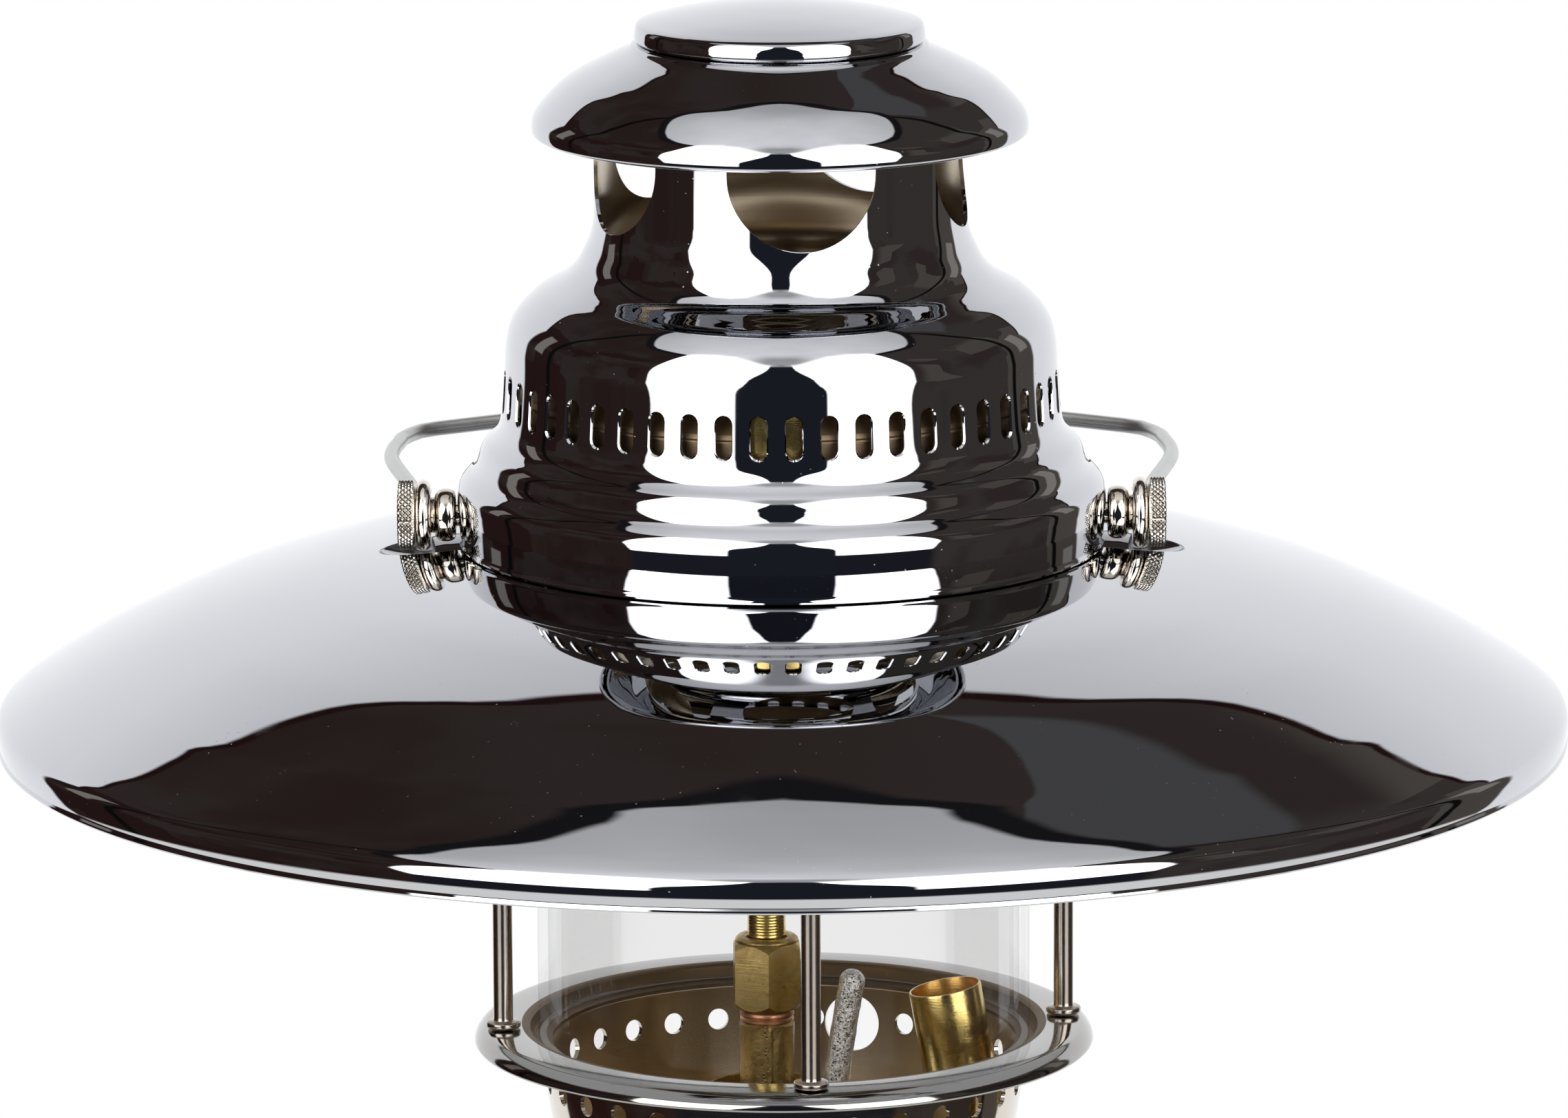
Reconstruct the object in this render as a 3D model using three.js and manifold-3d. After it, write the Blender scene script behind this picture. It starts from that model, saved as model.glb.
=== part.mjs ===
// A pressurised-paraffin lantern with a wide reflector shade.
// Millimetres, +Z up. The front is -Y, and azimuths run from the front towards +X.
// The origin is the middle of the tank's foot, on the surface that it stands on.
import * as THREE from 'three';
import { mergeVertices } from 'three/addons/utils/BufferGeometryUtils.js';
import Module from 'manifold-3d';

const wasm = await Module();
wasm.setup();

// ---------- driving dimensions ----------
const GAP = 0.3;                    // clearance between pieces that touch
const TANK_RADIUS = 85;
const TANK_TOP = 88;
const TANK_WALL = 1.2;
const SEAT_RADIUS = 52;             // flat seat on the tank that carries the frame
const PLATE_TOP = 176;              // top of the gallery plate
const PLATE_RADIUS = 64.8;
const GLASS_RADIUS = 51.5;
const GLASS_WALL = 2.2;
const GLASS_HEIGHT = 111;
const ROD_RADIUS = 2;
const ROD_CIRCLE = 59;
const ROD_AZIMUTH = 5.4;            // the frame is turned by this on the tank
const SHADE_SEAT = PLATE_TOP + 103.2;   // flat middle of the reflector, which the hood stands on
const SHADE_RADIUS = 163.5;
const HOOD_RIM = SHADE_SEAT + GAP;
const HOOD_RADIUS = 67.3;
const CHIMNEY_RADIUS = 38.6;
const SLOT_COUNT = 50;
const SLOT_AZIMUTH = 2.6;
const SLOT_WIDTH = 3.5;
const SLOT_HEIGHT = 9;
const SLOT_MIDDLE = PLATE_TOP + 135.6;
const WINDOW_AZIMUTHS = [7, 79, 151, -137, -65];
const WINDOW_WIDTH = 30.8;
const WINDOW_BOTTOM = PLATE_TOP + 170.5;
const CHIMNEY_TOP = PLATE_TOP + 185.3;
const CAP_RADIUS = 51.5;
const DISC_RADIUS = 30;
const HOLE_COUNT = 30;               // air holes around the basket
const HOLE_AZIMUTH = 4.6;
const HINGE_HEIGHT = PLATE_TOP + 108.5; // thumb screws, and the bail that turns on them
const EYE_X = 74.9;                 // middle of the bail's eye
const EYE_RADIUS = 5.65;
const WIRE_RADIUS = 1.45;
const DENT_RADIUS = 8.3;            // room in the reflector for each thumb screw's head
const BURNER = new THREE.Vector3(-3.6, 24, 0);  // axis of riser, burner and vaporiser
const SPINDLE_HEIGHT = 118;
const PUMP_Y = -22;
const PUMP_HEIGHT = 38;
const FILLER_AZIMUTH = -40;
const FILLER_TILT = 30;
const FILLER_CIRCLE = 66;
const FILLER_HEIGHT = 78;
const LEVER_X = 26;
const LEVER_HEIGHT = 133;

const AXIS_X = new THREE.Vector3(1, 0, 0);
const AXIS_Z = new THREE.Vector3(0, 0, 1);

// ---------- materials ----------
function finish(color, roughness, metalness) {
  return new THREE.MeshStandardMaterial({ color, roughness, metalness });
}
const chrome = () => finish(0xd8dadc, 0.06, 1);
const nickel = () => finish(0xc9bfa8, 0.2, 1);
const brass = () => finish(0xb8923c, 0.3, 1);
const copper = () => finish(0xb87048, 0.35, 1);
const steel = () => finish(0x8d8f92, 0.4, 1);
const ceramic = () => finish(0xe6e0d2, 0.8, 0);
const clearGlass = () => finish(0xe8efee, 0.03, 0);
const cloth = () => finish(0xf2f0ea, 0.95, 0);
const leather = () => finish(0x5a3a20, 0.8, 0);
const rubber = () => finish(0x1c1c1c, 0.9, 0);
const enamel = () => finish(0xf4f2ea, 0.5, 0);

// ---------- geometry helpers ----------
function volumeOf(position, index) {
  const [a, b, c] = [new THREE.Vector3(), new THREE.Vector3(), new THREE.Vector3()];
  let sum = 0;
  for (let i = 0; i < index.length; i += 3) {
    a.fromBufferAttribute(position, index[i]);
    b.fromBufferAttribute(position, index[i + 1]);
    c.fromBufferAttribute(position, index[i + 2]);
    sum += a.dot(b.cross(c)) / 6;
  }
  return sum;
}

// Merges a closed geometry's vertices, drops its empty triangles and turns its faces outward.
function closed(geometry) {
  geometry.deleteAttribute('normal');
  geometry.deleteAttribute('uv');
  const merged = mergeVertices(geometry, 1e-4);
  const index = [];
  const all = merged.index.array;
  for (let i = 0; i < all.length; i += 3) {
    const [a, b, c] = [all[i], all[i + 1], all[i + 2]];
    if (a !== b && b !== c && c !== a) index.push(a, b, c);
  }
  if (volumeOf(merged.attributes.position, index) < 0) index.reverse();
  merged.setIndex(index);
  return merged;
}

function solid(geometry) {
  const merged = closed(geometry.clone());
  const vertProperties = new Float32Array(merged.attributes.position.array);
  const triVerts = new Uint32Array(merged.index.array);
  return new wasm.Manifold(new wasm.Mesh({ numProp: 3, vertProperties, triVerts }));
}

function geometryOf(body) {
  const mesh = body.getMesh();
  const geometry = new THREE.BufferGeometry();
  geometry.setAttribute('position', new THREE.BufferAttribute(mesh.vertProperties, 3));
  geometry.setIndex(new THREE.BufferAttribute(mesh.triVerts, 1));
  return geometry;
}

function cut(geometry, cutters) {
  let body = solid(geometry);
  for (const cutter of cutters) body = body.subtract(solid(cutter));
  return geometryOf(body);
}

function join(geometries) {
  let body = solid(geometries[0]);
  for (const geometry of geometries.slice(1)) body = body.add(solid(geometry));
  return geometryOf(body);
}

// A solid of revolution about Z. The [radius, height] outline ends on the axis or on its start.
function turned(outline, segments = 18) {
  const points = outline.map(([r, z]) => new THREE.Vector2(r, z));
  return closed(new THREE.LatheGeometry(points, segments).rotateX(Math.PI / 2));
}

function ring(inner, outer, low, high, segments = 18) {
  const outline = [[inner, low], [outer, low], [outer, high], [inner, high], [inner, low]];
  return turned(outline, segments);
}

function rod(radius, low, high, segments = 16) {
  return turned([[0, low], [radius, low], [radius, high], [0, high]], segments);
}

function block(low, high) {
  const size = high.map((value, i) => value - low[i]);
  const middle = high.map((value, i) => (value + low[i]) / 2);
  return closed(new THREE.BoxGeometry(...size).translate(...middle));
}

// Turns a piece made about +Z so that it lies about the given direction, and moves it.
function lay(geometry, direction, origin = new THREE.Vector3()) {
  const turn = new THREE.Quaternion().setFromUnitVectors(AXIS_Z, direction);
  return geometry.applyQuaternion(turn).translate(origin.x, origin.y, origin.z);
}

function radians(degrees) {
  return THREE.MathUtils.degToRad(degrees);
}

function outward(azimuth) {
  return new THREE.Vector3(Math.sin(radians(azimuth)), -Math.cos(radians(azimuth)), 0);
}

// A prism pushed outward through a wall: its outline is [sideways, height].
function radialPrism(outline, from, to, azimuth) {
  const shape = new THREE.Shape(outline.map(([u, z]) => new THREE.Vector2(u, z)));
  const geometry = new THREE.ExtrudeGeometry(shape, { depth: to - from, bevelEnabled: false });
  const away = outward(azimuth);
  const sideways = new THREE.Vector3().crossVectors(AXIS_Z, away);
  const place = new THREE.Matrix4().makeBasis(sideways, AXIS_Z, away);
  place.setPosition(away.clone().multiplyScalar(from));
  return closed(geometry.applyMatrix4(place));
}

function slotOutline(width, height, middle) {
  const [half, straight] = [width / 2, (height - width) / 2];
  const corners = [[half, straight], [0, height / 2], [-half, straight],
    [-half, -straight], [0, -height / 2], [half, -straight]];
  return corners.map(([u, z]) => [u, z + middle]);
}

function rectangle(width, low, high, side = 0) {
  const half = width / 2;
  return [[side - half, low], [side + half, low], [side + half, high], [side - half, high]];
}

function circleOutline(radius, middle, count) {
  return Array.from({ length: count }, (_, i) => {
    const angle = (i + 0.5) * 2 * Math.PI / count;
    return [radius * Math.sin(angle), middle + radius * Math.cos(angle)];
  });
}

// A round bar along a smooth line through the points.
function bar(points, radius, steps, sides = 8) {
  const section = new THREE.Shape(Array.from({ length: sides }, (_, i) => {
    const angle = i * 2 * Math.PI / sides;
    return new THREE.Vector2(radius * Math.cos(angle), radius * Math.sin(angle));
  }));
  const extrudePath = new THREE.CatmullRomCurve3(points, false, 'centripetal');
  return closed(new THREE.ExtrudeGeometry(section, { steps, extrudePath, bevelEnabled: false }));
}

const lantern = new THREE.Group();

function add(name, geometry, material, parent = lantern) {
  const mesh = new THREE.Mesh(geometry, material);
  mesh.name = name;
  parent.add(mesh);
  return mesh;
}

function addAt(name, geometry, material, place, parent = lantern) {
  add(name, geometry, material, parent).position.copy(place);
}

// ---------- tank ----------
function tankSolid(inset) {
  return turned([
    [0, 6.3 + inset], [79 - inset, 6.3 + inset], [TANK_RADIUS - inset, 11 + inset],
    [TANK_RADIUS - inset, 56 - inset / 2], [82 - inset, 66 - inset], [72 - inset / 2, 75 - inset],
    [58 - inset / 2, 81 - inset], [SEAT_RADIUS - inset, TANK_TOP - inset], [0, TANK_TOP - inset],
  ], 40);
}

const fillerAway = outward(FILLER_AZIMUTH);
const fillerAxis = fillerAway.clone().multiplyScalar(Math.sin(radians(FILLER_TILT)));
fillerAxis.z = Math.cos(radians(FILLER_TILT));
const fillerBase = fillerAway.clone().multiplyScalar(FILLER_CIRCLE).setZ(FILLER_HEIGHT);
const pumpMouth = new THREE.Vector3(0, PUMP_Y, PUMP_HEIGHT);

function buildTank() {
  const neckHole = rod(8.3, 80, 95, 20).translate(BURNER.x, BURNER.y, 0);
  const fillerHole = lay(rod(13.3, -14, 14, 20), fillerAxis, fillerBase);
  const pumpHole = lay(rod(11.3, 60, 95, 20), AXIS_X, pumpMouth);
  const shell = cut(tankSolid(0), [tankSolid(TANK_WALL), neckHole, fillerHole, pumpHole]);
  add('fuel_tank', shell, chrome());
  add('tank_foot', ring(74, 83, 0, 6, 40), chrome());
  addAt('burner_neck', ring(8.3, 13, TANK_TOP + GAP, 97.7), brass(), BURNER);
}

// ---------- pump ----------
function buildPump() {
  const pump = new THREE.Group();
  pump.position.copy(pumpMouth);
  pump.quaternion.setFromUnitVectors(AXIS_Z, AXIS_X);
  lantern.add(pump);
  const barrel = [[2, -56], [11, -56], [11, 88], [10, 88], [10, -54.5], [2, -54.5], [2, -56]];
  add('pump_barrel', turned(barrel, 20), brass(), pump);
  const sleeve = lay(ring(11.3, 14.5, 68, 88, 20), AXIS_X, pumpMouth);
  const seated = cut(sleeve, [tankSolid(-GAP)]);
  add('pump_socket', seated, chrome());
  const cap = [[3.4, 88.3], [15.5, 88.3], [15.5, 94], [13, 96], [3.4, 96], [3.4, 88.3]];
  add('pump_cap', turned(cap, 24), chrome(), pump);
  add('pump_rod', rod(3, -45, 98, 12), steel(), pump);
  const knob = [[0, 98.3], [6, 98.3], [12, 100.5], [13.5, 104], [12.5, 108], [9, 110], [0, 110.5]];
  add('pump_knob', turned(knob, 24), chrome(), pump);
  const cup = [[0, -52], [6, -52], [9.7, -46.5], [9.7, -45.3], [0, -45.3]];
  add('pump_piston', turned(cup, 16), leather(), pump);
  const valve = [[0, -62], [4.5, -62], [4.5, -56.3], [1.7, -56.3], [1.7, -53.5], [0, -53.5]];
  add('pump_valve', turned(valve, 12), brass(), pump);
}

// ---------- filler cap and pressure gauge ----------
function buildFiller() {
  const filler = new THREE.Group();
  filler.position.copy(fillerBase);
  filler.quaternion.setFromUnitVectors(AXIS_Z, fillerAxis);
  lantern.add(filler);
  add('filler_neck', ring(10.5, 13, -6, 8, 20), chrome(), filler);
  add('filler_gasket', ring(9.8, 12.6, 8.3, 9.5, 20), rubber(), filler);
  const capBody = [[0, -3], [9.4, -3], [9.4, 9.8], [15.5, 9.8], [15.5, 16], [0, 16]];
  const ventHole = lay(rod(1.6, 6, 20, 8), AXIS_X, new THREE.Vector3(0, 0, 13));
  add('filler_cap', cut(turned(capBody, 20), [ventHole]), chrome(), filler);
  const screw = [[0, 8], [1.3, 8], [1.3, 15.9], [3.4, 15.9], [3.4, 22], [0, 22]];
  const release = lay(turned(screw, 12), AXIS_X, new THREE.Vector3(0, 0, 13));
  add('release_screw', release, brass(), filler);
  const bezel = [[0, 16.3], [14, 16.3], [14.6, 25], [13.6, 26.5], [12.6, 26.5], [12.6, 18], [0, 18]];
  add('gauge_case', turned(bezel, 20), chrome(), filler);
  add('gauge_dial', rod(12.2, 18.3, 18.9, 20), enamel(), filler);
  const hub = rod(1.4, 19.3, 21, 8);
  add('gauge_needle', join([hub, block([-0.5, -4, 19.6], [0.5, 9.5, 20.3])]), steel(), filler);
  add('gauge_glass', rod(12.3, 23.4, 24.6, 20), clearGlass(), filler);
}

// ---------- riser, burner, vaporiser ----------
function buildBurner() {
  addAt('riser_tube', ring(1.8, 4, 12, 83.7, 12), brass(), BURNER);
  const column = turned([
    [1.8, 84], [8, 84], [8, 98], [12, 98], [12, 104], [9, 106], [9, 111], [10.5, 111],
    [10.5, 126], [1.8, 126], [1.8, 84],
  ], 20);
  const spindleBore = lay(rod(2.9, 4, 14, 12), outward(0), new THREE.Vector3(0, 0, SPINDLE_HEIGHT));
  addAt('burner_body', cut(column, [spindleBore]), brass(), BURNER);
  addAt('control_rod', rod(0.9, 14, PLATE_TOP + 95, 8), steel(), BURNER);
  const onSpindle = new THREE.Vector3(BURNER.x, BURNER.y, SPINDLE_HEIGHT);
  add('spindle_gland', lay(ring(3.4, 6.5, 10.8, 18, 6), outward(0), onSpindle), brass());
  add('control_spindle', lay(rod(2.6, 7, 86, 12), outward(0), onSpindle), steel());
  const wheel = [[0, 86.3], [4, 86.3], [15, 87.5], [15, 94.5], [9, 95.5], [0, 95.5]];
  add('hand_wheel', lay(turned(wheel, 24), outward(0), onSpindle), nickel());
}

function buildVaporiser() {
  const body = [[1.8, 126.3], [8.5, 126.3], [8.5, 132], [5.6, 134], [5.6, 170], [1.8, 170],
    [1.8, 126.3]];
  addAt('vaporiser_body', turned(body, 16), brass(), BURNER);
  addAt('vaporiser_washer', ring(1.8, 5.6, 170.3, 173, 16), copper(), BURNER);
  addAt('vaporiser_nut', ring(1.8, 7.9, 173.3, 188.6, 6).rotateZ(radians(3)), brass(), BURNER);
  addAt('spirit_cup', turned([[5.9, 150], [13, 150], [13, 156], [12, 156], [12, 151], [5.9, 151],
    [5.9, 150]], 20), brass(), BURNER);
  const nozzle = PLATE_TOP + 97;
  const stem = turned([[1.8, 188.9], [4.05, 188.9], [4.05, nozzle - 8], [2.6, nozzle - 6],
    [2.4, nozzle], [1.8, nozzle], [1.8, 188.9]], 16);
  const behind = 180 - THREE.MathUtils.radToDeg(Math.atan2(BURNER.x, BURNER.y));
  const loop = Array.from({ length: 13 }, (_, i) => outward(behind + 30 * i)
    .multiplyScalar(BURNER.length()).setZ(PLATE_TOP + 76 + 0.7 * i).sub(BURNER));
  addAt('vaporiser_tube', cut(join([stem, bar(loop, 2.6, 24, 6)]), [rod(1.8, 180, 300, 10)]), brass(),
    BURNER);
}

function buildMixingTube() {
  const low = PLATE_TOP + 100;
  const legs = BURNER.length();
  const along = BURNER.clone().normalize();
  const arch = (start) => {
    const points = [BURNER.clone().setZ(start)];
    for (let i = 0; i <= 6; i += 1) {
      const angle = i * Math.PI / 6;
      const reach = legs / 2 + legs / 2 * Math.cos(angle);
      points.push(along.clone().multiplyScalar(reach).setZ(low + 18 + legs / 2 * Math.sin(angle)));
    }
    points.push(new THREE.Vector3(0, 0, start));
    return points;
  };
  const tube = cut(bar(arch(low), 7.2, 14, 8), [bar(arch(low - 5), 6, 16, 8)]);
  add('mixing_tube', tube, brass());
  add('clay_nozzle', ring(4.5, 9, low - 15, low - GAP, 20), ceramic());
  const sock = [[9.4, low - 13], [10.6, low - 13], [15, low - 22], [18, low - 36], [15.5, low - 50],
    [8, low - 59], [0, low - 61.5]];
  const sockInside = [[0, low - 60.3], [7.4, low - 57.9], [14.5, low - 49.4], [16.8, low - 36],
    [14, low - 22.6], [9.4, low - 15.2], [9.4, low - 13]];
  add('mantle', turned([...sock, ...sockInside], 20), cloth());
}

// ---------- quick preheater ----------
function buildPreheater() {
  const depth = 5;
  add('preheater_body', block([9, depth - 7, 126], [43, depth + 7, 139]), brass());
  const tip = PLATE_TOP + 9.6;
  const spout = bar([new THREE.Vector3(12.6, depth, 139.3), new THREE.Vector3(13.2, depth, 165),
    new THREE.Vector3(14.3, depth, tip - 2.5)], 2.7, 4, 10);
  const tipDome = new THREE.SphereGeometry(2.75, 10, 6).translate(14.3, depth, tip - 2.75);
  add('preheater_spout', join([spout, closed(tipDome)]), steel());
  const lean = new THREE.Vector3(-Math.sin(radians(10)), 0, Math.cos(radians(10)));
  const cup = turned([[0, -23], [7.65, -20], [7.65, 0], [7, 0], [7, -19.2], [0, -20.5]], 20);
  const mouth = new THREE.Vector3(33.6, depth, PLATE_TOP + 8.5);
  const stem = rod(3, 139.3, PLATE_TOP - 12.5, 12).translate(37.3, depth, 0);
  add('torch_cup', join([lay(cup, lean, mouth), stem]), brass());
  const pivot = new THREE.Vector3(LEVER_X, depth - 7 - GAP, LEVER_HEIGHT);
  const shaft = lay(rod(2, 0, 55, 12), outward(0), pivot);
  const end = pivot.y - 55;
  const arm = block([LEVER_X - 2.5, end - 3, LEVER_HEIGHT - 3], [LEVER_X + 2.5, end + 0.5,
    LEVER_HEIGHT + 24]);
  add('preheater_lever', join([shaft, arm]), nickel());
}

// ---------- frame ----------
function buildFrame() {
  const low = PLATE_TOP;
  const collarShell = turned([[48.8, TANK_TOP + GAP], [50, TANK_TOP + GAP], [46, 143.4],
    [44.8, 143.4], [48.8, TANK_TOP + GAP]], 32);
  const windows = [
    radialPrism(rectangle(26, 103, 133, BURNER.x), 20, 60, 0),
    radialPrism(rectangle(12, 124, 139, LEVER_X), 20, 60, 0),
    ...[90, 180, -90].map((azimuth) => radialPrism(rectangle(30, 100, 132), 20, 60, azimuth)),
  ];
  add('frame_collar', cut(collarShell, windows), nickel());
  const pitch = 360 / HOLE_COUNT;
  const bowl = turned([[44, low - 32], [45, low - 32], [48.5, low - 22], [50.2, low - 4.3],
    [49.2, low - 4.3], [47.5, low - 21.8], [44, low - 32]], HOLE_COUNT).rotateZ(radians(HOLE_AZIMUTH - pitch / 2));
  const holes = Array.from({ length: HOLE_COUNT }, (_, i) => HOLE_AZIMUTH + pitch * i)
    .filter((azimuth) => Math.abs(azimuth - 162) > 10)
    .map((azimuth) => radialPrism(circleOutline(2.2, low - 11.2, 6), 40, 60, azimuth));
  const largeHole = radialPrism(circleOutline(6, low - 12, 12), 40, 60, 162.7);
  add('air_basket', cut(bowl, [...holes, largeHole]), nickel());
  const plate = [[48.5, low - 3], [52.6, low - 3], [52.6, low], [62.5, low],
    [PLATE_RADIUS, low - 3.6], [63.7, low - 3.6], [61.8, low - 1], [53.6, low - 1],
    [53.6, low - 4], [48.5, low - 4], [48.5, low - 3]];
  add('gallery_plate', turned(plate, 40), nickel());
  const foot = low + GAP;
  const post = [[0, foot], [3.55, foot], [3.55, foot + 2], [ROD_RADIUS, foot + 2],
    [ROD_RADIUS, SHADE_SEAT - 5], [0, SHADE_SEAT - 5]];
  ['front', 'right', 'rear', 'left'].forEach((side, i) => {
    const place = outward(ROD_AZIMUTH + 90 * i).multiplyScalar(ROD_CIRCLE);
    addAt(`frame_rod_${side}`, turned(post, 12), nickel(), place);
  });
  add('frame_top_ring', ring(55, 63, SHADE_SEAT - 4.7, SHADE_SEAT - 1.3, 36), nickel());
  const glassFoot = low - 3 + GAP;
  add('glass_cylinder', ring(GLASS_RADIUS - GLASS_WALL, GLASS_RADIUS, glassFoot,
    glassFoot + GLASS_HEIGHT, 40), clearGlass());
}

// ---------- reflector ----------
// The space under the reflector's top face, lowered by the sheet's thickness for its underside.
// Two half-round dents let the thumb screws turn.
function underShade(sheet, innerRadius, low) {
  const top = SHADE_SEAT - sheet;
  const edge = SHADE_RADIUS - sheet;
  const space = turned([[innerRadius, low], [innerRadius, top], [71, top], [89 - sheet / 4, top - 3.3],
    [116 - sheet / 3, top - 10.5], [144.5 - sheet / 2, top - 22.6], [157 - sheet / 2, top - 30.4],
    [edge - 0.3, top - 36.5], [edge, low], [innerRadius, low]], 44);
  const dents = [AXIS_X, AXIS_X.clone().negate()].map((direction) => lay(
    rod(DENT_RADIUS + sheet, 65 - sheet, 100, 20), direction, new THREE.Vector3(0, 0, HINGE_HEIGHT)));
  return cut(space, dents);
}

function buildReflector() {
  const lip = SHADE_SEAT - 42;
  const shell = cut(underShade(0, 56, lip), [underShade(1, 50, lip - 2)]);
  add('reflector', shell, chrome());
}

// ---------- hood, chimney and caps ----------
function buildHood() {
  const [rim, base] = [HOOD_RIM, PLATE_TOP];
  const outside = [[HOOD_RADIUS, rim], [HOOD_RADIUS, base + 112], [63, base + 119.8],
    [58.2, base + 127.5], [57.2, base + 144.5], [50.5, base + 156.3],
    [CHIMNEY_RADIUS, base + 168], [CHIMNEY_RADIUS, CHIMNEY_TOP]];
  const wall = 1;
  const inside = outside.slice().reverse().map(([r, z]) => [r - wall, z]);
  const bell = turned([...outside, ...inside, outside[0]], SLOT_COUNT);
  bell.rotateZ(radians(SLOT_AZIMUTH - 180 / SLOT_COUNT));
  const slots = Array.from({ length: SLOT_COUNT }, (_, i) => radialPrism(
    slotOutline(SLOT_WIDTH, SLOT_HEIGHT, SLOT_MIDDLE), 54, 62, SLOT_AZIMUTH + i * 360 / SLOT_COUNT));
  const half = WINDOW_WIDTH / 2;
  const bowlMiddle = WINDOW_BOTTOM + half;
  const opening = [[-half, CHIMNEY_TOP - 1.3]];
  for (let angle = 166; angle >= 14; angle -= 19) {
    opening.push([half * Math.cos(radians(angle)), bowlMiddle - half * Math.sin(radians(angle))]);
  }
  opening.push([half, CHIMNEY_TOP - 1.3]);
  const windows = WINDOW_AZIMUTHS.map((azimuth) => radialPrism(opening, 24, 46, azimuth));
  const notches = [90, -90].map((azimuth) => radialPrism(
    rectangle(6, rim - 2, HINGE_HEIGHT + 3), 60, 72, azimuth));
  add('hood', cut(bell, [...slots, ...windows, ...notches]), chrome());
}

function buildCaps() {
  const base = PLATE_TOP;
  const cap = [[0, base + 208], [30, base + 207.4], [38.5, base + 203.5], [46.1, base + 198.1],
    [50.4, base + 192.9], [CAP_RADIUS, base + 190.3], [46.8, base + 187.9],
    [39, CHIMNEY_TOP + GAP], [34, CHIMNEY_TOP + GAP], [34, base + 186.7], [46.3, base + 189],
    [49.5, base + 192.3], [45.4, base + 197.2], [38, base + 202.5], [29.8, base + 206.3],
    [0, base + 207]];
  add('mushroom_cap', turned(cap, 32), chrome());
  const disc = [[0, base + 208.9], [DISC_RADIUS - 0.6, base + 208.9], [DISC_RADIUS, base + 209.6],
    [DISC_RADIUS, base + 211], [DISC_RADIUS - 1, base + 212], [16, base + 215],
    [0, base + 216.2]];
  add('top_disc', turned(disc, 28), chrome());
}

// A skirt that stands on the reflector inside the hood, with a rounded-in shoulder at its top.
function buildInnerCasing() {
  const shoulder = PLATE_TOP + 136;
  const mouth = PLATE_TOP + 150;
  const casing = [[53, HOOD_RIM], [63, HOOD_RIM], [63, HOOD_RIM + 1], [54, HOOD_RIM + 1],
    [54, shoulder], [42, mouth], [41, mouth], [53, shoulder - 0.8], [53, HOOD_RIM]];
  add('inner_casing', turned(casing, 32), nickel());
}

// ---------- bail and thumb screws ----------
function buildSide(name, direction) {
  const hinge = new THREE.Vector3(0, 0, HINGE_HEIGHT);
  const bracket = ring(2.8, 3.8, 54.6, 65.6, 12);
  add(`screw_bracket_${name}`, lay(bracket, direction, hinge), steel());
  const bush = [[2.8, 68.1], [4.4, 68.1], [5.25, 69], [5.25, 71.4], [4.4, 72.3], [3.7, 72.6],
    [3.7, 76.2], [2.8, 76.2], [2.8, 68.1]];
  add(`bail_bush_${name}`, lay(turned(bush, 14), direction, hinge), nickel());
  const screw = [[0, 57], [2.4, 57], [2.4, 76.5], [6.4, 76.5], [6.8, 76.9], [6.8, 79.3],
    [6.3, 79.8], [0, 79.8]];
  add(`thumb_screw_${name}`, lay(turned(screw, 16), direction, hinge), nickel());
}

// One half of the bail, from the end of its eye to the top of its arch, on the side given.
function bailHalf(side) {
  const points = [];
  for (let angle = 42; angle <= 330; angle += 36) {
    const [y, z] = [Math.cos(radians(angle)), Math.sin(radians(angle))];
    points.push(new THREE.Vector3(side * EYE_X, EYE_RADIUS * y, EYE_RADIUS * z));
  }
  const leg = [[EYE_X, 9.5], [EYE_X + 0.4, 14], [82.4, 56], [82.9, 68], [81.2, 82]];
  points.push(...leg.map(([x, y]) => new THREE.Vector3(side * x, y, 0)));
  const [archRadius, archMiddle] = [129, -12.5];
  for (const x of [75, 60, 40, 20]) {
    const y = archMiddle + Math.sqrt(archRadius ** 2 - x ** 2);
    points.push(new THREE.Vector3(side * x, y, 0));
  }
  return points;
}

function buildBail() {
  const top = new THREE.Vector3(0, 116.5, 0);
  const line = [...bailHalf(-1), top, ...bailHalf(1).reverse()];
  const wire = bar(line, WIRE_RADIUS, 72, 6).translate(0, 0, HINGE_HEIGHT);
  add('bail', wire, steel());
}

buildTank();
buildPump();
buildFiller();
buildBurner();
buildVaporiser();
buildMixingTube();
buildPreheater();
buildFrame();
buildReflector();
buildHood();
buildCaps();
buildInnerCasing();
buildSide('left', outward(-90));
buildSide('right', outward(90));
buildBail();

export default lantern;
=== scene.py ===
import math

import bmesh
import bpy
import numpy as np
from mathutils import Matrix, Vector


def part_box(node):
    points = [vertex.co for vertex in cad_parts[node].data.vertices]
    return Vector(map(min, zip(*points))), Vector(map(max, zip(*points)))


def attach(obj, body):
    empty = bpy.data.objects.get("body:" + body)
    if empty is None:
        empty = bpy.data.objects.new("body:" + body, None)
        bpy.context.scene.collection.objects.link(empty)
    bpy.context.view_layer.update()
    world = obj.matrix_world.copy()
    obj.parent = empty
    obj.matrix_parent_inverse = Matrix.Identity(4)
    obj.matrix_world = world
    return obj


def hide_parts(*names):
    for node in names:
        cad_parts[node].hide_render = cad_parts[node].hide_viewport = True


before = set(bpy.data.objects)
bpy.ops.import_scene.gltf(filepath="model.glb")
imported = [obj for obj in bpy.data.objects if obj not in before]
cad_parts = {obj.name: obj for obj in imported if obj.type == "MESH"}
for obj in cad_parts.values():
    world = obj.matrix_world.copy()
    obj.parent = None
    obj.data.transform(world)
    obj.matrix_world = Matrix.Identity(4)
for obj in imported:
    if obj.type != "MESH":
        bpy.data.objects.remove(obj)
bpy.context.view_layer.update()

# Outlines below are in millimetres, [radius, height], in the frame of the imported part: +Z up,
# the front is -Y, and azimuths run from the front towards +X. Meshes are made in metres.
MM = 0.001


def top_of(node):
    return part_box(node)[1].z / MM


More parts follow.
